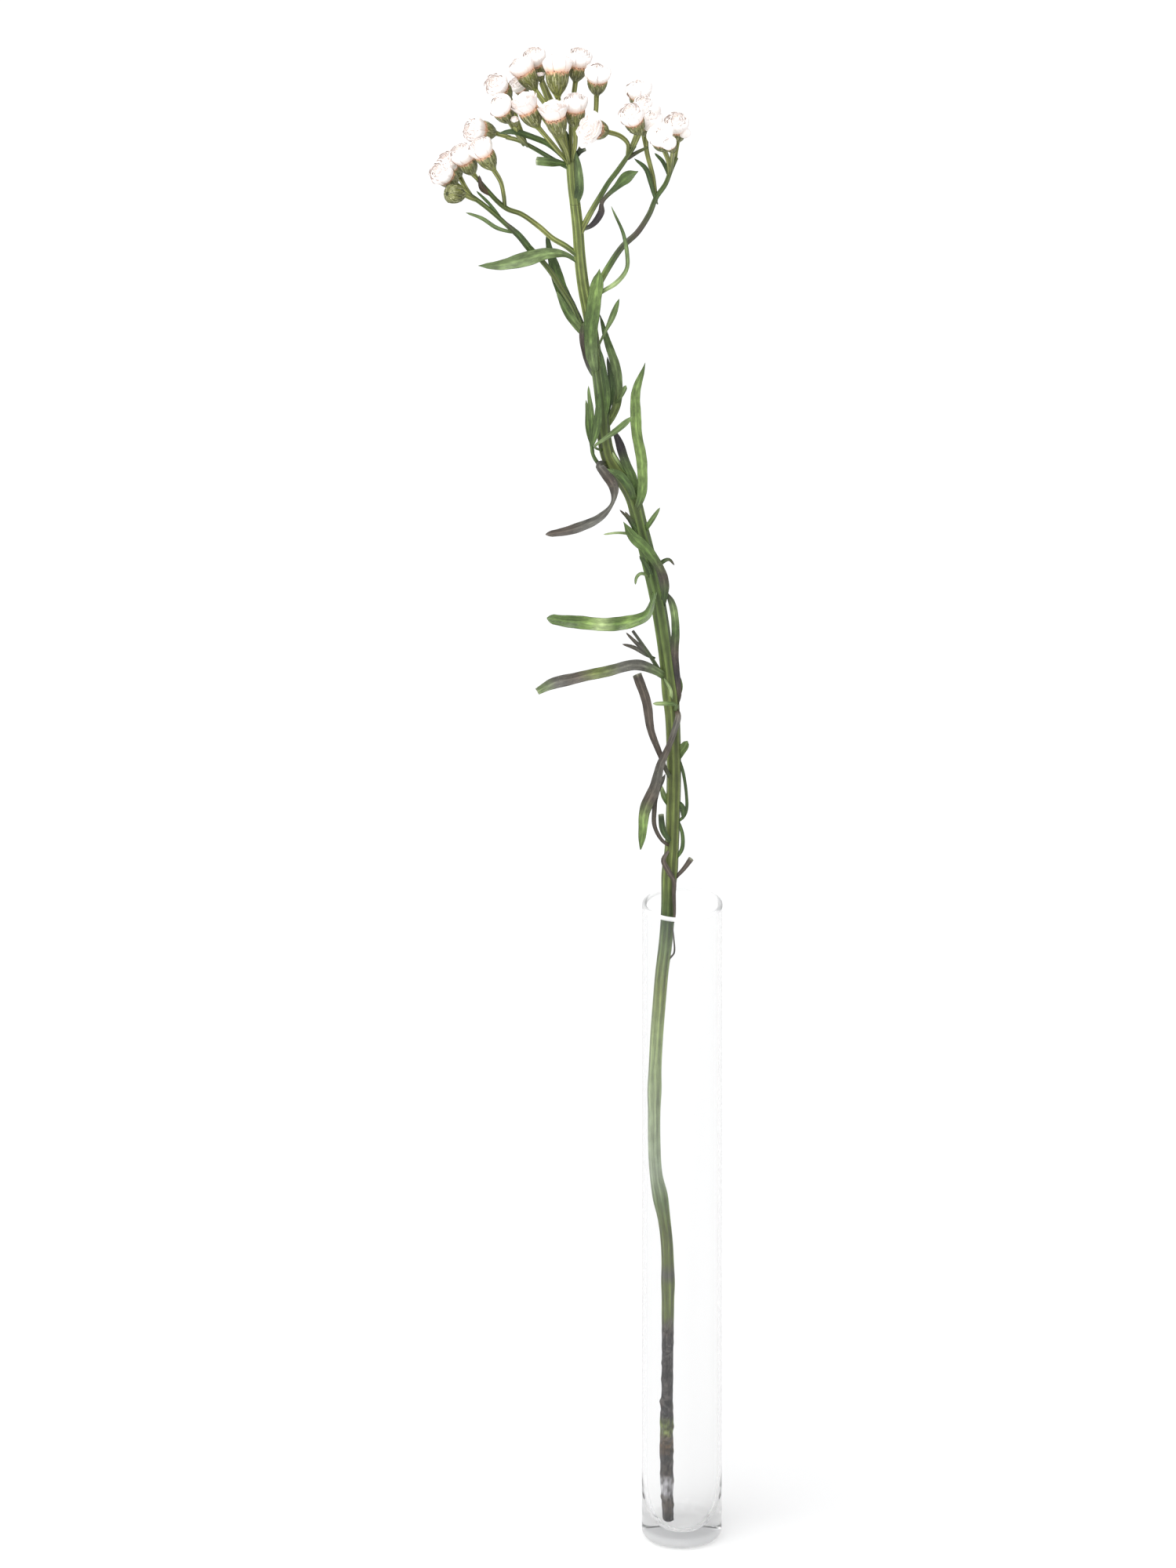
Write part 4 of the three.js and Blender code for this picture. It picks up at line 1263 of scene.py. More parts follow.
        where = spin + across * half / np.maximum(reach, 1.6)
        out = np.clip(reach + crumple + hollow + 0.04 * np.sin(ring), 0.05, self.widest)
        points = self.stand(out, where, height + 0.2 * crumple, self.stretch)

        # The tint darkens where the crumples fold: painted shade in the folds, stronger on some heads
        fade = 0.06 + self.fold_shade + 0.1 * rng.uniform(0, 1, place.shape)
        fold = (fade * (0.5 + 0.5 * np.sin(5 * across + phase[1])))[..., None]
        tint = blend(Tint.BRACT.row, Tint.BRACT_FOLD_SHADE.row, fold)
        tint = blend(tint, Tint.BRACT_FOOT.row, np.clip(1.1 - share / 0.4, 0, 1)[..., None])
        burnt = np.clip(1.1 - share / 0.22, 0, 1)[..., None] * rng.uniform(0.3, 1, (*place.shape, 1))
        tint = blend(tint, Tint.BRACT_ROOT.row, burnt)
        places = grid((across + 1) / 2, 6 * share + 7 * place)
        return Skin.joined([Skin.loft(points, tint, places), self.tuft(rng)])

    def tuft(self, rng: np.random.Generator) -> Skin:
        """A dense white tuft turned from a domed outline, and small tan-tipped florets through it.

        The florets stand on a golden-angle spiral.

        Args:
            rng: The seeded source of the florets' heights.

        Returns:
            The tuft's skin.
        """
        rise, around = surface_grid(*self.tuft_mesh)
        swell = 0.62 + 0.22 * np.sin(math.pi / 2 * np.minimum(rise / 0.6, 1))
        dome = self.bloom.value.belly * swell * np.sqrt(np.clip(1.01 - rise**5, 0, 1))
        dome = dome * (1 + 0.03 * np.sin(9 * around))
        tall = self.bloom.value.rise - 1.0
        points = self.stand(dome, around, self.tuft_foot + tall * rise)
        pile = Skin.loft(points[None], Tint.TUFT.row, np.zeros(2))

        number = np.arange(self.florets)[:, None, None]
        share, ring = surface_grid(*self.floret_mesh)
        away = self.floret_spread * np.sqrt((number + 0.5) / self.florets)
        spin = number * GOLDEN_ANGLE
        body = 0.2 * (0.7 + 0.5 * share) * np.sqrt(np.clip(1.02 - share**6, 0.02, 1))
        x = away * np.cos(spin) + body * np.cos(ring)
        y = away * np.sin(spin) + body * np.sin(ring)
        top = self.tuft_foot + tall + rng.uniform(0.0, 0.4, number.shape) - 0.4 * away
        points = self.stand(np.hypot(x, y), np.arctan2(y, x), top - self.floret_reach * (1 - share))
        tint = blend(Tint.TUFT.row, Tint.FLORET_TIP.row, ramp(share, 0.7, 0.3)[..., None])
        return Skin.joined([pile, Skin.loft(points, tint, np.zeros(2))])


@dataclass(frozen=True)
class Petal:
    """A loose papery bract: where its middle is, the way it points, the way it faces and its size."""

    middle: tuple[float, float, float]
    point: tuple[float, float, float]
    face: tuple[float, float, float]
    length: float
    width: float

    mesh = (14, 18)
    thickness = 0.12

    def skin(self, rng: np.random.Generator) -> Skin:
        """Lofts the bract: an oval, hollow on its back and crumpled by low waves.

        Args:
            rng: The seeded source of the crumples.

        Returns:
            The bract's skin.
        """
        share, ring = surface_grid(*self.mesh, 0.004, 0.996)
        across = np.cos(ring)
        half = self.width / 2 * np.sqrt(np.clip(1 - (2 * share - 1) ** 2, 0, 1)) * (0.8 + 0.3 * share)
        point = np.array(self.point) / np.linalg.norm(self.point)
        side = np.cross(self.face, point)
        side /= np.linalg.norm(side)
        out = np.cross(point, side)
        phase = rng.uniform(0, PHASES, 2)
        bulge = 0.9 * half * (1 - across**2) * 0.5 + 0.1 * np.sin(4 * across + 5 * share + phase[0])
        rings = (
            np.array(self.middle)
            + (self.length * (share - 0.5))[..., None] * point
            + (half * across)[..., None] * side
            + (bulge + self.thickness / 2 * np.sin(ring))[..., None] * out
        )
        # The tint darkens in waves across the bract: painted shade in its folds
        fold = (0.25 * (0.5 + 0.5 * np.sin(6 * across + phase[1])))[..., None]
        tint = blend(Tint.LOOSE_BRACT.row, Tint.LOOSE_FOLD_SHADE.row, fold)
        return Skin.loft(rings[None], tint[None], grid((across + 1) / 2, 6 * share)[None])


@dataclass
class Spray:
    """A side spray: its main twig, pedicels, small leaves and heads."""

    name: str
    main: Twig
    heads: tuple[Head, ...]
    leaves: tuple[Leaf, ...]
    spurs: tuple[Twig, ...] = ()
    petals: tuple[tuple[str, Petal], ...] = ()

    pedicel_radii = (0.72, 0.95)
    pedicel_tones = "olive straw straw"

    def build(self, rng: np.random.Generator, more: tuple[Skin, ...] = ()) -> None:
        """Makes the spray's twigs, leaves, cups and crowns.

        Args:
            rng: The seeded source of every small difference.
            more: Further stems that belong to the spray.
        """
        stalks = [
            Twig((*head.pedicel, head.seat()), self.pedicel_radii, self.pedicel_tones)
            for head in self.heads
        ]
        twigs = [twig.skin(rng) for twig in (self.main, *self.spurs, *stalks)]
        Skin.joined([*twigs, *more]).piece(f"{self.name}_twigs", STALK, self.name, "dried_spray")
        if self.leaves:
            blades = Skin.joined([one.skin(rng) for one in self.leaves])
            blades.piece(f"{self.name}_leaves", LEAF, self.name, "dried_spray")
        for head in self.heads:
            head.cup(rng).piece(f"cup_{head.name}", SCALE, self.name, "dried_spray")
            if not head.closed:
                node = f"crown_{head.name}"
                loose = [petal.skin(rng) for owner, petal in self.petals if owner == head.name]
                crown = Skin.joined([head.crown(rng), *loose])
                crown.piece(f"bracts_{head.name}", BRACT, node, "papery_bract")


# The plant's own courses

STEM = MainStem(
    course=(
        (-5.3, -1, 5.7), (-5.6, -1, 24), (-5.7, -1, 42), (-5.4, -1, 64), (-5.3, -1, 86),
        (-5.2, -0.5, 105), (-5.6, 0, 120), (-6.6, 0, 130), (-8, 0, 139), (-9.7, 0, 149),
        (-10.4, 0, 164), (-10.4, 0, 179), (-10.2, 0, 189), (-9.6, 0, 203), (-8.6, 0.5, 218),
        (-7.6, 0.5, 231), (-6.2, 1, 243), (-5.4, 1, 254), (-5, 1, 267), (-3.9, 1, 282),
        (-3.4, 1, 297), (-3.2, 1, 315), (-3.7, 1, 334), (-4.7, 1, 346), (-6.9, 1, 366),
        (-9.8, 1.5, 385), (-13.6, 2, 403), (-16, 2, 413), (-18.6, 2, 424), (-21.8, 2, 431),
        (-25.6, 2, 437), (-28, 2, 442), (-29.4, 2, 450), (-30, 2, 462), (-31.1, 2, 472),
        (-32.6, 1.5, 483), (-34.4, 1.5, 496), (-37, 1, 511), (-38.2, 1, 522), (-39, 1, 534),
        (-40, 0.5, 544), (-41, 0, 553), (-41.6, 0, 562),
    ),
    radii=(
        (6, 2.15), (60, 2.1), (130, 2.2), (200, 2.3), (260, 2.4), (340, 2.6), (400, 2.7),
        (470, 2.35), (520, 2.0), (545, 1.85), (562, 1.7),
    ),
    knobs=(
        (24, 0.35, 5), (36, 0.45, 5), (47, 0.35, 5), (105, 0.25, 5), (139, 0.5, 6), (183, 0.35, 6),
        (272, 0.4, 6), (345, 0.35, 6), (435, 0.35, 7),
    ),
    tones=(
        (6, Tone.NIGHT), (15, Tone.PLUM), (18.5, Tone.STONE), (24, Tone.STONE), (26, Tone.PLUM),
        (33, Tone.NIGHT), (37, Tone.BROWN), (41, Tone.BROWN), (44, Tone.MOSS), (47, Tone.OLIVE),
        (50, Tone.NIGHT), (70, Tone.NIGHT), (81, Tone.NIGHT), (86, Tone.PLUM), (91, Tone.OLIVE),
        (104, Tone.OLIVE), (108, Tone.ASH), (113, Tone.OLIVE), (128, Tone.OLIVE), (138, Tone.SAGE),
        (150, Tone.FROST), (200, Tone.PALE), (225, Tone.MOSS), (242, Tone.SAGE), (252, Tone.DEEP),
        (275, Tone.OLIVE), (330, Tone.OLIVE), (400, Tone.FRESH), (440, Tone.OLIVE),
        (466, Tone.FRESH), (473, Tone.SAGE), (500, Tone.MOSS), (540, Tone.MOSS), (562, Tone.MOSS),
    ),
)
TOP_NODE = 543.5

STEM_LEAVES = (
    leaf("sage sage fresh fresh bright fresh", (-32.5, -1, 477.5, 2.5), (-34, -3, 485, 4.5),
         (-34, -5, 496.5, 5.2), (-33, -5, 506.5, 5.3), (-31.5, -4.5, 514.5, 4.4), (-31, -4, 519.5, 0.9)),
    leaf("frost ash plum plum sage", (-34, 1.5, 475, 1), (-36.2, -1.2, 483, 2),
         (-37.2, -2.4, 489.5, 2.4), (-37, -3, 494.5, 2.2), (-36, -3, 498.5, 0.8)),
    leaf("sage sage pale sage sage deep sage", (-35.5, 0, 501.5, 1), (-31.5, -3, 508.5, 1.5),
         (-25, -4, 513.5, 1.8), (-21, -4.5, 519.5, 1.6), (-20.5, -5, 525, 1.6), (-22, -5.5, 533.5, 1.4),
         (-26.5, -5.5, 545.5, 0.7)),
    leaf("plum sage sage fresh", (-33.5, 1, 481.5, 0.9), (-29, -1, 492, 1), (-26, -1, 499.5, 2.4),
         (-23.5, -1, 506, 1)),
    leaf("fresh olive sage sage fresh deep", (-29.5, 2, 451.5, 2.5), (-25.5, 3.5, 458.5, 3),
         (-24, 4.5, 465.5, 3.4), (-24.5, 5, 473.5, 3.6), (-27, 5, 483, 3), (-31, 5.5, 497, 0.8)),
    leaf("fresh fresh deep deep", (-29, 1, 456, 1.2), (-28, -1, 468, 2.4), (-29.5, -1.5, 477.5, 2.2),
         (-30.5, -1.5, 486, 0.7)),
    leaf("deep deep dark", (-28.5, 2, 456, 1.5), (-26.5, 1.5, 470, 2.6), (-28, 1.5, 481.5, 0.8)),
    leaf("sage sage sage", (-25.5, 4.5, 461.5, 1.2), (-23, 2, 465, 1), (-21, 0, 470.5, 2)),
    leaf("plum fresh bright bright bright bright deep", (-18, 2, 418, 2.2), (-16.5, -1, 422.5, 2.4),
         (-15, -2, 429.5, 3.6), (-15, -2, 438, 3.9), (-17, -2, 452.5, 4), (-17.5, -3, 467.5, 3.6),
         (-14, -5, 482, 0.9)),
    leaf("fresh fresh fresh night night", (-18, 1.5, 421, 3), (-18.5, 0, 432, 3.4),
         (-21, 1, 438.5, 3.2), (-23.5, 2, 446, 3.2), (-26, 2, 452, 1)),
    leaf("pale fresh pale", (-19.5, 1, 431.5, 1), (-23.5, 0.5, 438, 1.6), (-26, 0, 443.5, 0.8)),
    leaf("fresh fresh deep fresh", (-18, 1, 423, 1.4), (-19.5, -3.5, 430, 2.8), (-23.5, -4, 436, 3),
         (-28, -4, 438.5, 0.9)),
    leaf("deep fresh sage", (-33.5, -2, 445.5, 1), (-35, -2, 454, 2), (-36, -2, 465.5, 0.8)),
    leaf("deep fresh sage", (-34, -2.5, 447, 1), (-34, -4.5, 460, 2.2), (-35, -5, 472.5, 0.8)),
    leaf("fresh fresh deep", (-33.5, -2.5, 447, 1), (-31.5, -6, 459, 3), (-31, -6, 470.5, 1)),
    leaf("deep sage sage fresh sage", (-30, 0.5, 444, 1), (-32.5, -3, 447, 0.9),
         (-29.5, -4.5, 450.5, 1.4), (-22, -5.5, 457, 2.4), (-18.5, -6, 460.5, 1)),
    leaf("olive ash plum ash ash ash plum plum", (-28, 1, 438, 2), (-31, -3, 439.5, 2.8),
         (-28.5, -4, 436, 3.8), (-25.5, -5, 431, 3.6), (-26, -6, 425.5, 1.4), (-31, -7, 420, 3),
         (-39.5, -8, 416, 3.6), (-51, -9, 414, 2.2), blunt=24),
    leaf("fresh deep plum", (-16.5, 1, 409, 1), (-20, 0, 416, 1.2), (-23.5, 0, 420, 0.7)),
    leaf("fresh deep plum", (-16.5, 0, 411, 1), (-19.5, -1, 417, 1.2), (-21.5, -1.5, 420, 0.7)),
    leaf("sage sage pale", (-16, 0.5, 409.5, 1.2), (-24.5, -3, 412, 0.9), (-29.5, -3, 411.5, 0.7)),
    leaf("fresh fresh sage", (-15, 1.5, 409, 1), (-11.5, 0, 416, 2), (-8.5, 0, 421, 0.8)),
    leaf("fresh sage deep plum", (-11, 1, 392.5, 1), (-7.5, 0, 399, 1.6), (-5, 0, 400, 1.2),
         (-3, 0, 397.5, 0.7)),
    leaf("fresh sage sage sage", (-11.5, 0.5, 392.5, 1), (-15.5, -2, 395, 1.2), (-17, -2, 393.5, 1.2),
         (-17.5, -2, 390.5, 0.7)),
    leaf("fresh deep deep", (-11, 1, 389.5, 1.2), (-13, -1.5, 397, 2), (-16, -1.5, 402, 0.8)),
    leaf("fresh plum night plum deep sage night", (-3.5, 1, 339, 2), (-2, 0, 344.5, 3),
         (-3, 0, 361.5, 3), (-2.5, 0, 371.5, 3), (-4, 0, 382, 2.6), (-6, 0, 387, 1.2)),
    leaf("night deep plum fresh fresh fresh", (-7.5, 1, 380, 1.4), (-6.5, -2.5, 390.5, 3.2),
         (-9.5, -4.5, 400, 3.6), (-14, -5, 407, 4.2), (-18.5, -4.5, 411, 4), (-22, -4, 417, 0.9)),
    leaf("fresh sage ash ash olive plum ash sage", (-6, 0.5, 351.5, 2.4), (-11.5, -4.5, 357.5, 3.4),
         (-17, -7, 360, 4), (-28, -9, 358.5, 4), (-39.5, -10, 356, 4.2), (-48, -10, 354, 4.2),
         (-54, -9, 350, 2.6), cut=True),
    leaf("fresh plum plum plum plum", (-4, 0.5, 309.5, 1.4), (-7.5, -3.5, 319.5, 1.8),
         (-11.5, -5, 332, 2.8), (-14, -5, 346.5, 3.6), (-17, -4, 355, 3.4), cut=True),
    leaf("brown ash plum ash plum bright fresh", (-2.5, 0, 339, 1.6), (-1.5, -3.5, 337.5, 2.2),
         (-5, -6, 327, 2.4), (-8, -7, 319.5, 3), (-10.5, -7.5, 310, 4.4), (-14, -8, 300.5, 4.2),
         (-15.5, -9, 285.5, 1.8)),
    leaf("brown plum plum plum ash ash", (-4.5, 0, 283, 1), (-7.5, -3.5, 287, 1.4),
         (-10.5, -5, 294, 1.6), (-10.5, -5.5, 300.5, 1.8), (-9.5, -5, 306.5, 1.8),
         (-6.5, -4.5, 314.5, 1.4)),
    leaf("deep deep dark", (-4.5, -1, 285, 1.2), (-7, -3, 290.5, 2.2), (-8, -3, 297.5, 2.2), cut=True),
    leaf("fresh sage fresh pale", (-3, 0, 337.5, 1.2), (-3, -4, 342.5, 1.4), (-7, -5, 343.5, 1.7),
         (-11, -5, 343.5, 1.4)),
    leaf("fresh fresh bright fresh", (-2.5, 1, 317, 1.4), (-0.5, 1, 321, 3), (1, 1, 323.5, 3.2),
         (2, 1, 325.5, 1.8)),
    leaf("deep deep deep deep fresh", (-2.5, 1, 321, 1), (0.5, 1.5, 311.5, 1.2), (1.5, 1, 304, 1.2),
         (1, 0.5, 296, 1.2), (-2, 0.5, 292, 1)),
    leaf("deep deep deep", (-2.5, 1, 301.5, 1), (0, 0.5, 298.5, 2.2), (0.5, 0, 294, 1)),
    leaf("fresh fresh deep fresh", (-2.5, 1, 294.5, 1), (0, 1, 287.5, 1.4), (0, 0, 282, 1.6),
         (-3, 0.5, 277, 1)),
    leaf("plum plum plum", (-4.5, 0.5, 268, 1.6), (-1.5, 0, 271.5, 1.4), (1, 0, 274.5, 1.8),
         (3.5, 0, 278, 2.2), cut=True),
    leaf("plum plum plum plum plum", (-5, -1, 281.5, 1), (-7, -2.5, 278.5, 1.8), (-5, -3, 273.5, 2),
         (-3.2, -2.5, 270, 1.7), (-3, -2.1, 264, 1.4), (-3, -1.8, 257, 1.1), (-3.2, -1.5, 252, 0.7)),
    leaf("fresh sage sage", (-3, 0.5, 340.5, 1), (-0.5, 0, 348, 1.3), (-1, 0, 352.5, 0.7)),
    leaf("fresh fresh pale", (-4, 1.5, 297.5, 1.2), (-7, 1.5, 303, 2.2), (-8, 1.5, 307.5, 0.9)),
    leaf("fresh pale sage", (-4, -1, 342.5, 1), (-4.5, -3, 348.5, 1.4), (-7, -3.5, 353, 0.8)),
    leaf("deep ash plum", (-12, -2.5, 361.5, 1.2), (-16.5, -4, 367, 1.6), (-21, -4, 372, 0.7)),
    leaf("deep ash plum", (-12, -2.5, 361.5, 1.2), (-18, -4.5, 366, 1.6), (-22.5, -5, 367.5, 0.7)),
)
# The pale tone in the middle of the blade is a painted highlight of the wax's shine
WAXY_LEAF = leaf(
    "deep fresh fresh fresh bright fresh pale bright fresh fresh fresh",
    (-10, 0, 387.5, 1.6), (-11.5, -4, 383.5, 2.2), (-13.5, -6, 380, 3.6), (-18.5, -7.5, 378, 4.8),
    (-28, -9, 377.5, 5), (-39.5, -9.5, 378.5, 4.8), (-50.5, -9, 380, 3.6), blunt=24,
)

SHOOT_RADII = (0.85, 0.55)
STEM_SHOOTS = (
    Twig(((-27.5, 1, 435), (-31.5, -1, 439.5), (-33.5, -2, 444), (-34, -2, 448.5)), SHOOT_RADII,
         "deep fresh"),
    Twig(((-7, 0.5, 351.5), (-12.5, -2.5, 362.5), (-18.5, -4, 372.5)), SHOOT_RADII, "fresh ash"),
    Twig(((-3.9, 0, 252), (-3.2, -1, 246), (-3, -1, 240), (-4.4, 0, 237.5), (-6, 0.5, 235)),
         (0.22, 0.4), "ash plum"),
)

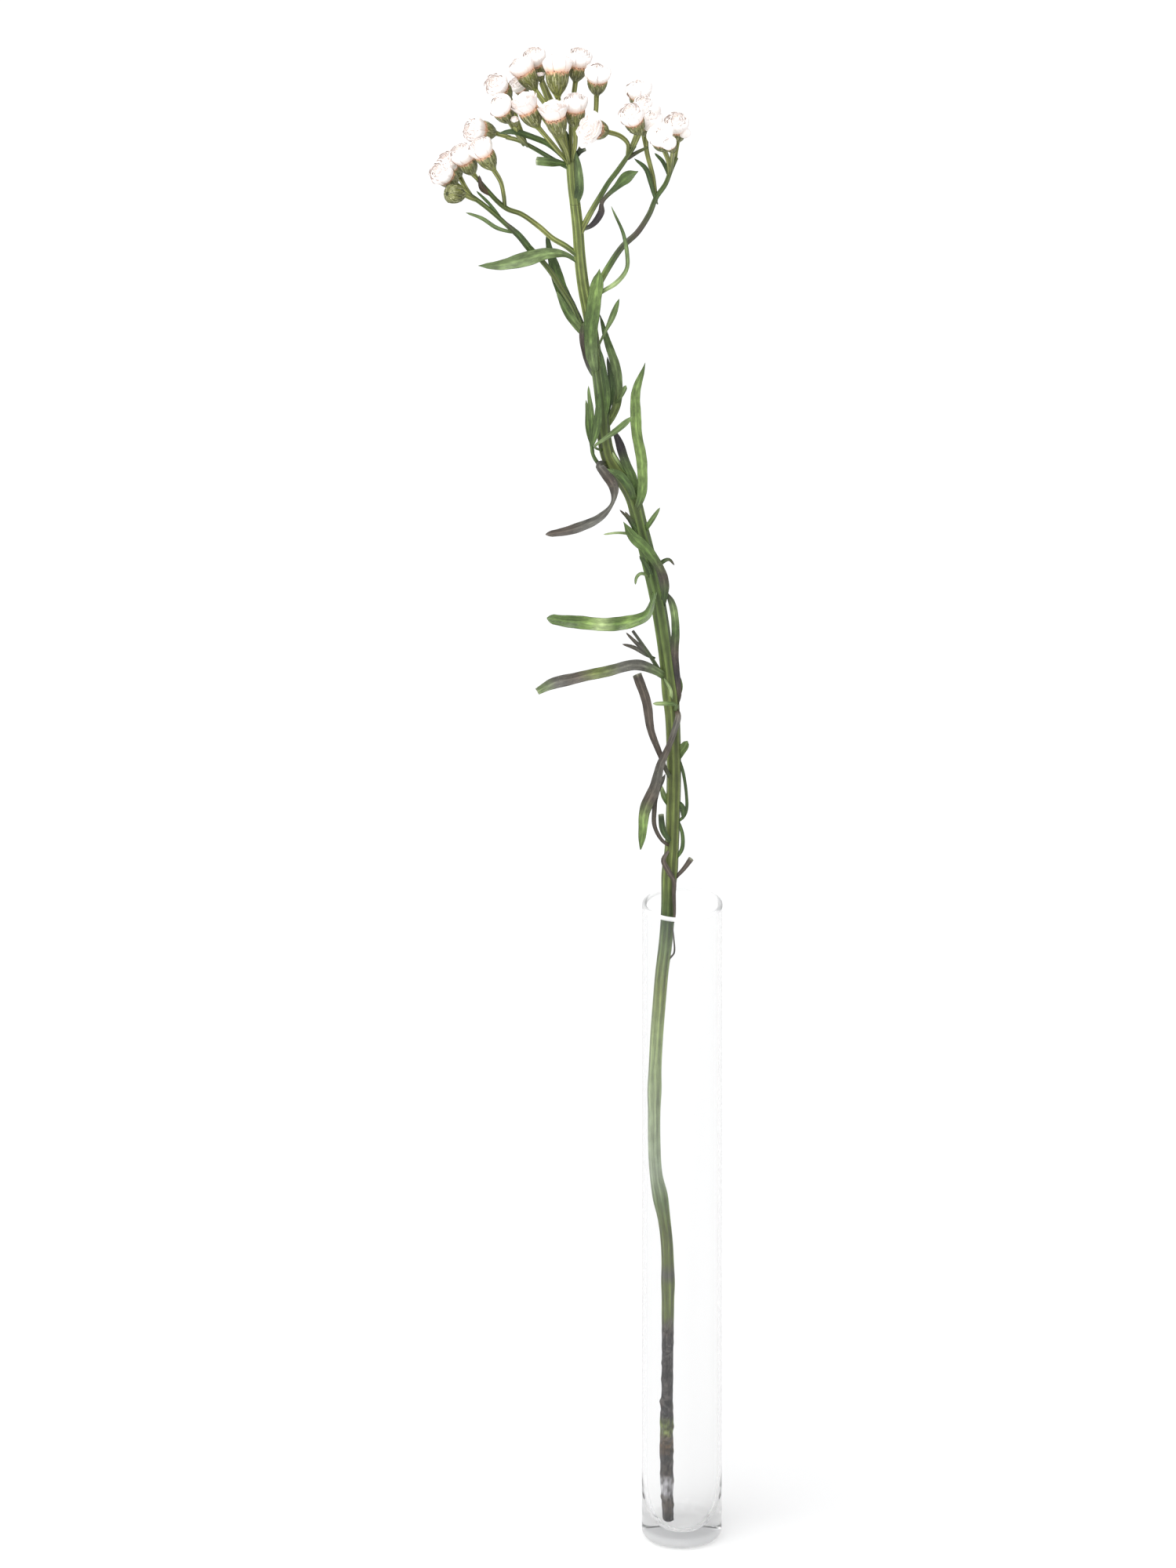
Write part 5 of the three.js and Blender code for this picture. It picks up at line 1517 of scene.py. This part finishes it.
SPRAYS = (
    Spray(
        "spray_low_left",
        Twig(((-34.5, 1.5, 489.5), (-37.5, 1, 493.5), (-41, 0.5, 502.5), (-45, -0.5, 510),
              (-49.5, -2, 518), (-57, -3.5, 528), (-67, -4.5, 539), (-74, -4.5, 545.5),
              (-79, -4.5, 549.5)), (1.1, 0.85), "sage olive fresh olive"),
        (
            Head("q", (-82.5, 9, 550.5), (-0.47, -0.35, 0.81), ((-78, -4.5, 548.5), (-80.5, 2, 549.5)),
                 0.9, fold_shade=0.35),
            Head("r", (-84, -2, 552.5), (-0.51, -0.52, 0.68), ((-78, -4.5, 548.5), (-81.5, -4, 551.5)),
                 fold_shade=0.2),
            Head("s", (-80.5, -9, 551.5), (-0.72, -0.62, 0.32), ((-77, -4.5, 547.5), (-79, -7, 549.5)),
                 0.95, closed=True),
        ),
        (
            leaf("sage deep fresh deep deep", (-36, 2.5, 491, 2.5), (-42, 4, 500.5, 4.5),
                 (-46.5, 5, 512, 4.5), (-49, 6, 521, 3), (-50.5, 6, 530, 1)),
            leaf("fresh fresh deep plum", (-53, -3, 522.5, 1.2), (-57, -4.5, 528, 2.4),
                 (-61.5, -5, 534, 2.4), (-66.5, -5, 539.5, 0.8)),
            leaf("sage sage fresh sage", (-36, 1, 489.5, 1.5), (-39.5, 0, 495, 3.2),
                 (-43, -0.5, 501, 3), (-47, -1, 509, 1)),
            leaf("deep sage sage sage", (-62.5, -4, 534, 1), (-69, -6, 537, 1.5), (-74.5, -7, 541, 1.5),
                 (-80.5, -7, 543.5, 0.7)),
            leaf("deep deep deep", (-67.5, -4.5, 540, 1), (-72.5, -4, 546.5, 1.2), (-76.5, -4, 551, 0.7)),
        ),
    ),
    Spray(
        "spray_high_left",
        Twig(((-38, 0.5, 522), (-43.5, 1, 526.5), (-48.5, 1.5, 529.5), (-53.5, 2, 534), (-60, 2, 539),
              (-65, 2, 541), (-68.5, 1.5, 544), (-73, 1, 549.5), (-76, 0.5, 553.5)), (1.05, 0.8),
             "fresh straw olive fresh"),
        (
            Head("o", (-77.5, 0, 555.5), (-0.4, -0.22, 0.89), ((-75, 0.5, 552.5),)),
            Head("p", (-70, -6, 560), (-0.46, -0.1, 0.88),
                 ((-66, 2, 542), (-66.5, -0.5, 548), (-67.5, -3, 554))),
        ),
        (
            leaf("deep sage sage sage sage fresh", (-38.5, 0.5, 520, 1.5), (-43, 0, 523.4, 1.9),
                 (-50, -5, 526, 4.2), (-58.5, -8, 525.2, 5.4), (-67.5, -9, 523, 3.8),
                 (-76, -9, 523, 0.8)),
            leaf("brown brown plum", (-70.5, 1.5, 546.5, 1), (-74.5, -0.5, 550.5, 2.2),
                 (-75.5, -1, 556, 0.8)),
        ),
    ),
    Spray(
        "spray_middle",
        Twig(((-42, 0, 558.5), (-47.5, 1, 561), (-55, 4, 564.5), (-61, 6, 567), (-65.5, 8, 567.5)),
             (0.95, 0.8), "deep fresh straw"),
        (
            Head("a", (-54.5, 8, 586), (-0.49, 0.13, 0.86), ((-42, 1, 560.5), (-47.5, 5, 576))),
            Head("b", (-52.5, 19, 586), (-0.26, -0.18, 0.95), ((-41.5, 1, 560.5), (-46.5, 11, 575)), 0.95),
            Head("c", (-46.5, 3, 585.5), (-0.01, 0.39, 0.92), ((-42, 0.5, 560.5), (-44.5, 2, 574)), 1.15),
            Head("d", (-40, 15, 586.5), (0.15, -0.13, 0.98), ((-41.5, 0.5, 560.5), (-41.5, 8, 574.5))),
            Head("e", (-32, 7, 584.5), (0.04, -0.23, 0.97),
                 ((-41, 0.5, 560.5), (-35, 4, 571), (-32.5, 6, 577.5)), bloom=Bloom.BALL),
            Head("f", (-64, 8, 583), (-0.49, -0.46, 0.74), ((-58, 5, 565.5), (-61, 7, 573.5)), 0.95),
            Head("g", (-64, -3, 578), (-0.39, -0.38, 0.84), ((-59, 5.5, 565.5), (-61.5, 1.5, 571.5)),
                 bloom=Bloom.BALL),
            Head("h", (-53.5, -6, 577), (-0.45, -0.05, 0.89), ((-42, -0.5, 560), (-48.5, -4, 570)), 1.05,
                 bloom=Bloom.SPLAYED),
            Head("i", (-45.5, -11, 575), (-0.21, 0, 0.98), ((-42, -0.5, 560), (-43.5, -6, 568.5)), 1.05,
                 bloom=Bloom.SPLAYED),
            Head("j", (-40, -5, 576), (0, -0.01, 1), ((-41.5, -0.5, 560), (-40, -3.5, 569.5))),
            Head("l", (-69, 9, 568.5), (-0.76, -0.52, 0.39), ((-64, 7.5, 567.5),), fold_shade=0.25),
            Head("m", (-58, 21, 578.5), (-0.42, -0.43, 0.8), ((-41.5, 1, 560), (-50, 14, 570)), 0.7),
            Head("bud_high", (-52.5, 12, 587.5), (-0.1, 0, 1), ((-46, 4, 571.5), (-50, 9, 581.5)), 0.4,
                 Bloom.BUD),
            Head("bud_low", (-62, -8, 578.5), (-0.1, -0.3, 0.95), ((-57.5, 4.5, 565.5), (-61, -3, 573)),
                 0.4, Bloom.BUD),
        ),
        (
            leaf("sage deep sage deep", (-39.5, -0.5, 545, 2), (-38.5, -2.5, 551, 3.3),
                 (-38.5, -3, 558, 3), (-40, -3, 566.5, 1)),
            leaf("fresh fresh sage", (-43.5, 0, 560, 1.4), (-48.5, -2.5, 562, 3.2),
                 (-54.5, -5, 563.5, 3.2), cut=True),
            leaf("deep dark dark", (-40.5, 0, 561, 1.2), (-38, -3, 566.5, 2), (-36, -3.5, 567.5, 1.2),
                 cut=True),
            leaf("deep deep deep", (-42, 1, 560, 1.2), (-42.5, 4.5, 565.5, 2.4), (-43.5, 6, 571, 0.9)),
            leaf("deep fresh fresh deep deep", (-43.5, -0.5, 562, 1), (-50.5, -3.5, 570, 2.2),
                 (-57.5, -5.5, 574, 2.2), (-63, -7, 576, 2.2), (-68.5, -7, 575.5, 1)),
        ),
        (),
        (("e", Petal((-32.2, 2.4, 592.2), (0, -0.1, -1), (0, -1, 0.3), 3.8, 2.9)),),
    ),
    Spray(
        "spray_inner_right",
        Twig(((-39, 1, 529.5), (-35, 1, 538.5), (-31, 1, 546), (-27.5, 0.5, 552.5), (-24.5, 0, 557),
              (-20.5, -3, 564.5), (-18, -6, 570)), (1.1, 0.8), "straw fresh olive"),
        (
            Head("v", (-16, -9.5, 576), (-0.29, -0.36, 0.89), ((-18.5, -5.5, 569),)),
            Head("t", (-15.5, 13, 575), (-0.09, -0.17, 0.98), ((-21, -2.5, 563.5), (-17, 6, 570.5)),
                 bloom=Bloom.BALL),
            Head("k", (-28, -9, 577), (-0.56, -0.71, 0.42),
                 ((-20.5, -3, 564.5), (-20.5, -5, 570.5), (-23.5, -7, 574.5)),
                 bloom=Bloom.SPLAYED, stretch=(1.1, 0.85)),
        ),
        (
            leaf("fresh night night plum deep fresh fresh", (-37.5, 0.5, 533, 1), (-33.5, 0, 535.5, 2),
                 (-30.5, 0, 540.5, 2.6), (-30, -1, 545, 1.6), (-25, -1.5, 551, 2.2),
                 (-20.5, -2, 556, 4.4), (-16.5, -2, 558, 1)),
        ),
        (Twig(((-20.5, -2.5, 563.5), (-16.5, -3.5, 566.5), (-13, -4, 568.5)), SHOOT_RADII, "plum olive"),),
        (
            ("k", Petal((-36.6, -16.5, 577.6), (-0.25, -0.1, -1), (-0.3, -1, 0.3), 8.2, 4.0)),
            ("k", Petal((-33.2, -17, 585.2), (0.05, 0.1, 1), (-0.2, -1, 0.3), 7.2, 4.4)),
            ("k", Petal((-33.6, -18, 579.8), (-0.1, 0.1, -1), (0.1, -1, 0.3), 7.4, 4.2)),
        ),
    ),
    Spray(
        "spray_outer_right",
        Twig(((-35, 1, 503.5), (-32.5, 2, 508), (-27.5, 1.5, 518), (-22.5, 1.5, 526), (-17, 2, 531.5),
              (-12.5, 2, 539), (-10, 1, 546), (-6.5, 0, 552), (-4.5, -2, 558.5), (-2.5, -0.5, 563)),
             (1.25, 0.8), "straw fresh plum fresh olive"),
        (
            Head("w", (-14, 1, 571), (0.17, -0.46, 0.87),
                 ((-10, 1.5, 544.5), (-11, 1, 554), (-13.5, 1, 565)), bloom=Bloom.BALL),
            Head("u", (-14.5, 6, 576.5), (-0.03, -0.42, 0.91), ((-13, 1, 563), (-14.5, 5, 570)), 0.7),
            Head("x", (-7, -9, 569.5), (-0.15, -0.55, 0.82), ((-5, -1.5, 556.5), (-5.5, -6, 564)),
                 bloom=Bloom.BALL),
            Head("y", (-3.5, -17, 572.5), (-0.28, -0.56, 0.78), ((-4.5, -2, 558.5), (-4, -10, 567)), 0.6,
                 Bloom.BALL),
            Head("z", (-2, 4, 567), (-0.04, -0.38, 0.93), ((-3, -1, 561.5),), 0.95),
        ),
        (
            leaf("fresh deep deep deep", (-10, 1, 545, 1), (-12, -1, 553, 1.6), (-14, -1.5, 559, 1.8),
                 (-18, -1.5, 563, 0.8)),
            leaf("deep deep deep", (-5.5, -1, 556, 1), (-7.5, -4, 563, 1.5), (-10.5, -4.5, 566.5, 0.8)),
        ),
        (),
        (
            ("x", Petal((-9.6, -14.5, 579.0), (-0.25, -0.2, 1), (-0.2, -1, 0.5), 5.8, 4.4)),
            ("x", Petal((-5.5, -15, 579.6), (0.25, -0.2, 1), (0.2, -1, 0.5), 5.6, 4.2)),
            ("x", Petal((-13.0, -8, 578.4), (-0.3, 0, -1), (-0.2, -1, 0.4), 3.2, 3.0)),
            ("w", Petal((-14.3, -3.6, 582.2), (-0.2, -0.1, 1), (-0.2, -1, 0.4), 6.4, 4.4)),
            ("w", Petal((-10.2, -3.8, 582.4), (0.2, -0.1, 1), (0.3, -1, 0.4), 6.2, 4.2)),
            ("z", Petal((0.7, -1.6, 573.4), (0.1, -0.1, -1), (0.1, -1, 0.3), 4.4, 4.4)),
        ),
    ),
)


@dataclass
class Plant:
    """The whole ixodia: its stem and leaves, and its sprays."""

    seed: int = 7
    lap: float = 0.6

    def build(self) -> None:
        """Builds every piece of the plant in order, from one seeded source.

        The top of the stem belongs to the middle spray, and the two lengths lap where they meet.
        """
        rng = np.random.default_rng(self.seed)
        stems = [STEM.skin(0, TOP_NODE + self.lap, rng), *(shoot.skin(rng) for shoot in STEM_SHOOTS)]
        Skin.joined(stems).piece("main_stem", STALK, "leafy_stem", "dried_stem")
        blades = Skin.joined([one.skin(rng) for one in STEM_LEAVES])
        blades.piece("stem_leaves", LEAF, "leafy_stem", "dried_stem")
        WAXY_LEAF.skin(rng).piece("waxy_leaf", GLOSSY_LEAF, "leafy_stem", "dried_stem")
        for spray in SPRAYS:
            trunk = (STEM.skin(TOP_NODE, math.inf, rng),) if spray.name == "spray_middle" else ()
            spray.build(rng, trunk)


@dataclass
class Studio:
    """A white glowing floor, soft light from all round and a key from the upper left."""

    floor_side: float = 9.0
    floor_drop: float = 0.2 * MM
    sky: float = 0.75
    sky_colour: str = "#fdfeff"
    key_strength: float = 3.6
    key_spread: float = 60.0
    key_turn: tuple[float, float, float] = (42.0, 0.0, -38.0)
    key_place: tuple[float, float, float] = (-1.6, -1.4, 1.9)
    farthest: float = 200.0

    def build(self) -> None:
        """Lays the floor, lights the scene and sets the camera where the photograph was taken."""
        half = self.floor_side / 2
        mesh = bpy.data.meshes.new("floor")
        corners = [(-half, -half, 0), (half, -half, 0), (half, half, 0), (-half, half, 0)]
        mesh.from_pydata(corners, [], [(0, 1, 2, 3)])
        mesh.materials.append(BACKDROP.material())
        floor = bpy.data.objects.new("floor", mesh)
        floor.location.z = -self.floor_drop
        bpy.context.scene.collection.objects.link(floor)
        world = bpy.data.worlds.new("studio_air")
        world.use_nodes = True
        air = world.node_tree.nodes["Background"]
        air.inputs["Color"].default_value = opaque(self.sky_colour)
        air.inputs["Strength"].default_value = self.sky
        bpy.context.scene.world = world
        self.key()
        bpy.context.scene.view_settings.view_transform = "Standard"
        self.camera()

    def key(self) -> None:
        """Hangs the key light: a wide soft source to the upper left in front, like a far window."""
        lamp = bpy.data.lights.new("key_light", "SUN")
        lamp.energy = self.key_strength
        lamp.angle = math.radians(self.key_spread)
        holder = bpy.data.objects.new("key_light", lamp)
        holder.location = self.key_place
        holder.rotation_euler = [math.radians(turn) for turn in self.key_turn]
        bpy.context.scene.collection.objects.link(holder)

    def camera(self) -> None:
        """Sets the camera so that a photograph's pixel covers its millimetres at the aim."""
        lens = bpy.data.cameras.new("photo_view")
        lens.lens = SENSOR * VIEW_DISTANCE / (PHOTO_HEIGHT_PX * MM_PER_PX)
        lens.sensor_width = SENSOR
        lens.clip_end = self.farthest
        holder = bpy.data.objects.new("photo_view", lens)
        back = np.array([0, -math.cos(VIEW_ELEVATION), math.sin(VIEW_ELEVATION)])
        holder.location = (np.array(VIEW_AIM) + VIEW_DISTANCE * back) * MM
        holder.rotation_euler = (math.pi / 2 - VIEW_ELEVATION, 0, 0)
        bpy.context.scene.collection.objects.link(holder)
        bpy.context.scene.camera = holder


def main() -> None:
    """Builds the vase, the plant and the studio."""
    logging.basicConfig(level=logging.INFO, format="%(message)s")
    TubeVase().build()
    Plant().build()
    Studio().build()
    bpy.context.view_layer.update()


if __name__ == "__main__":
    main()
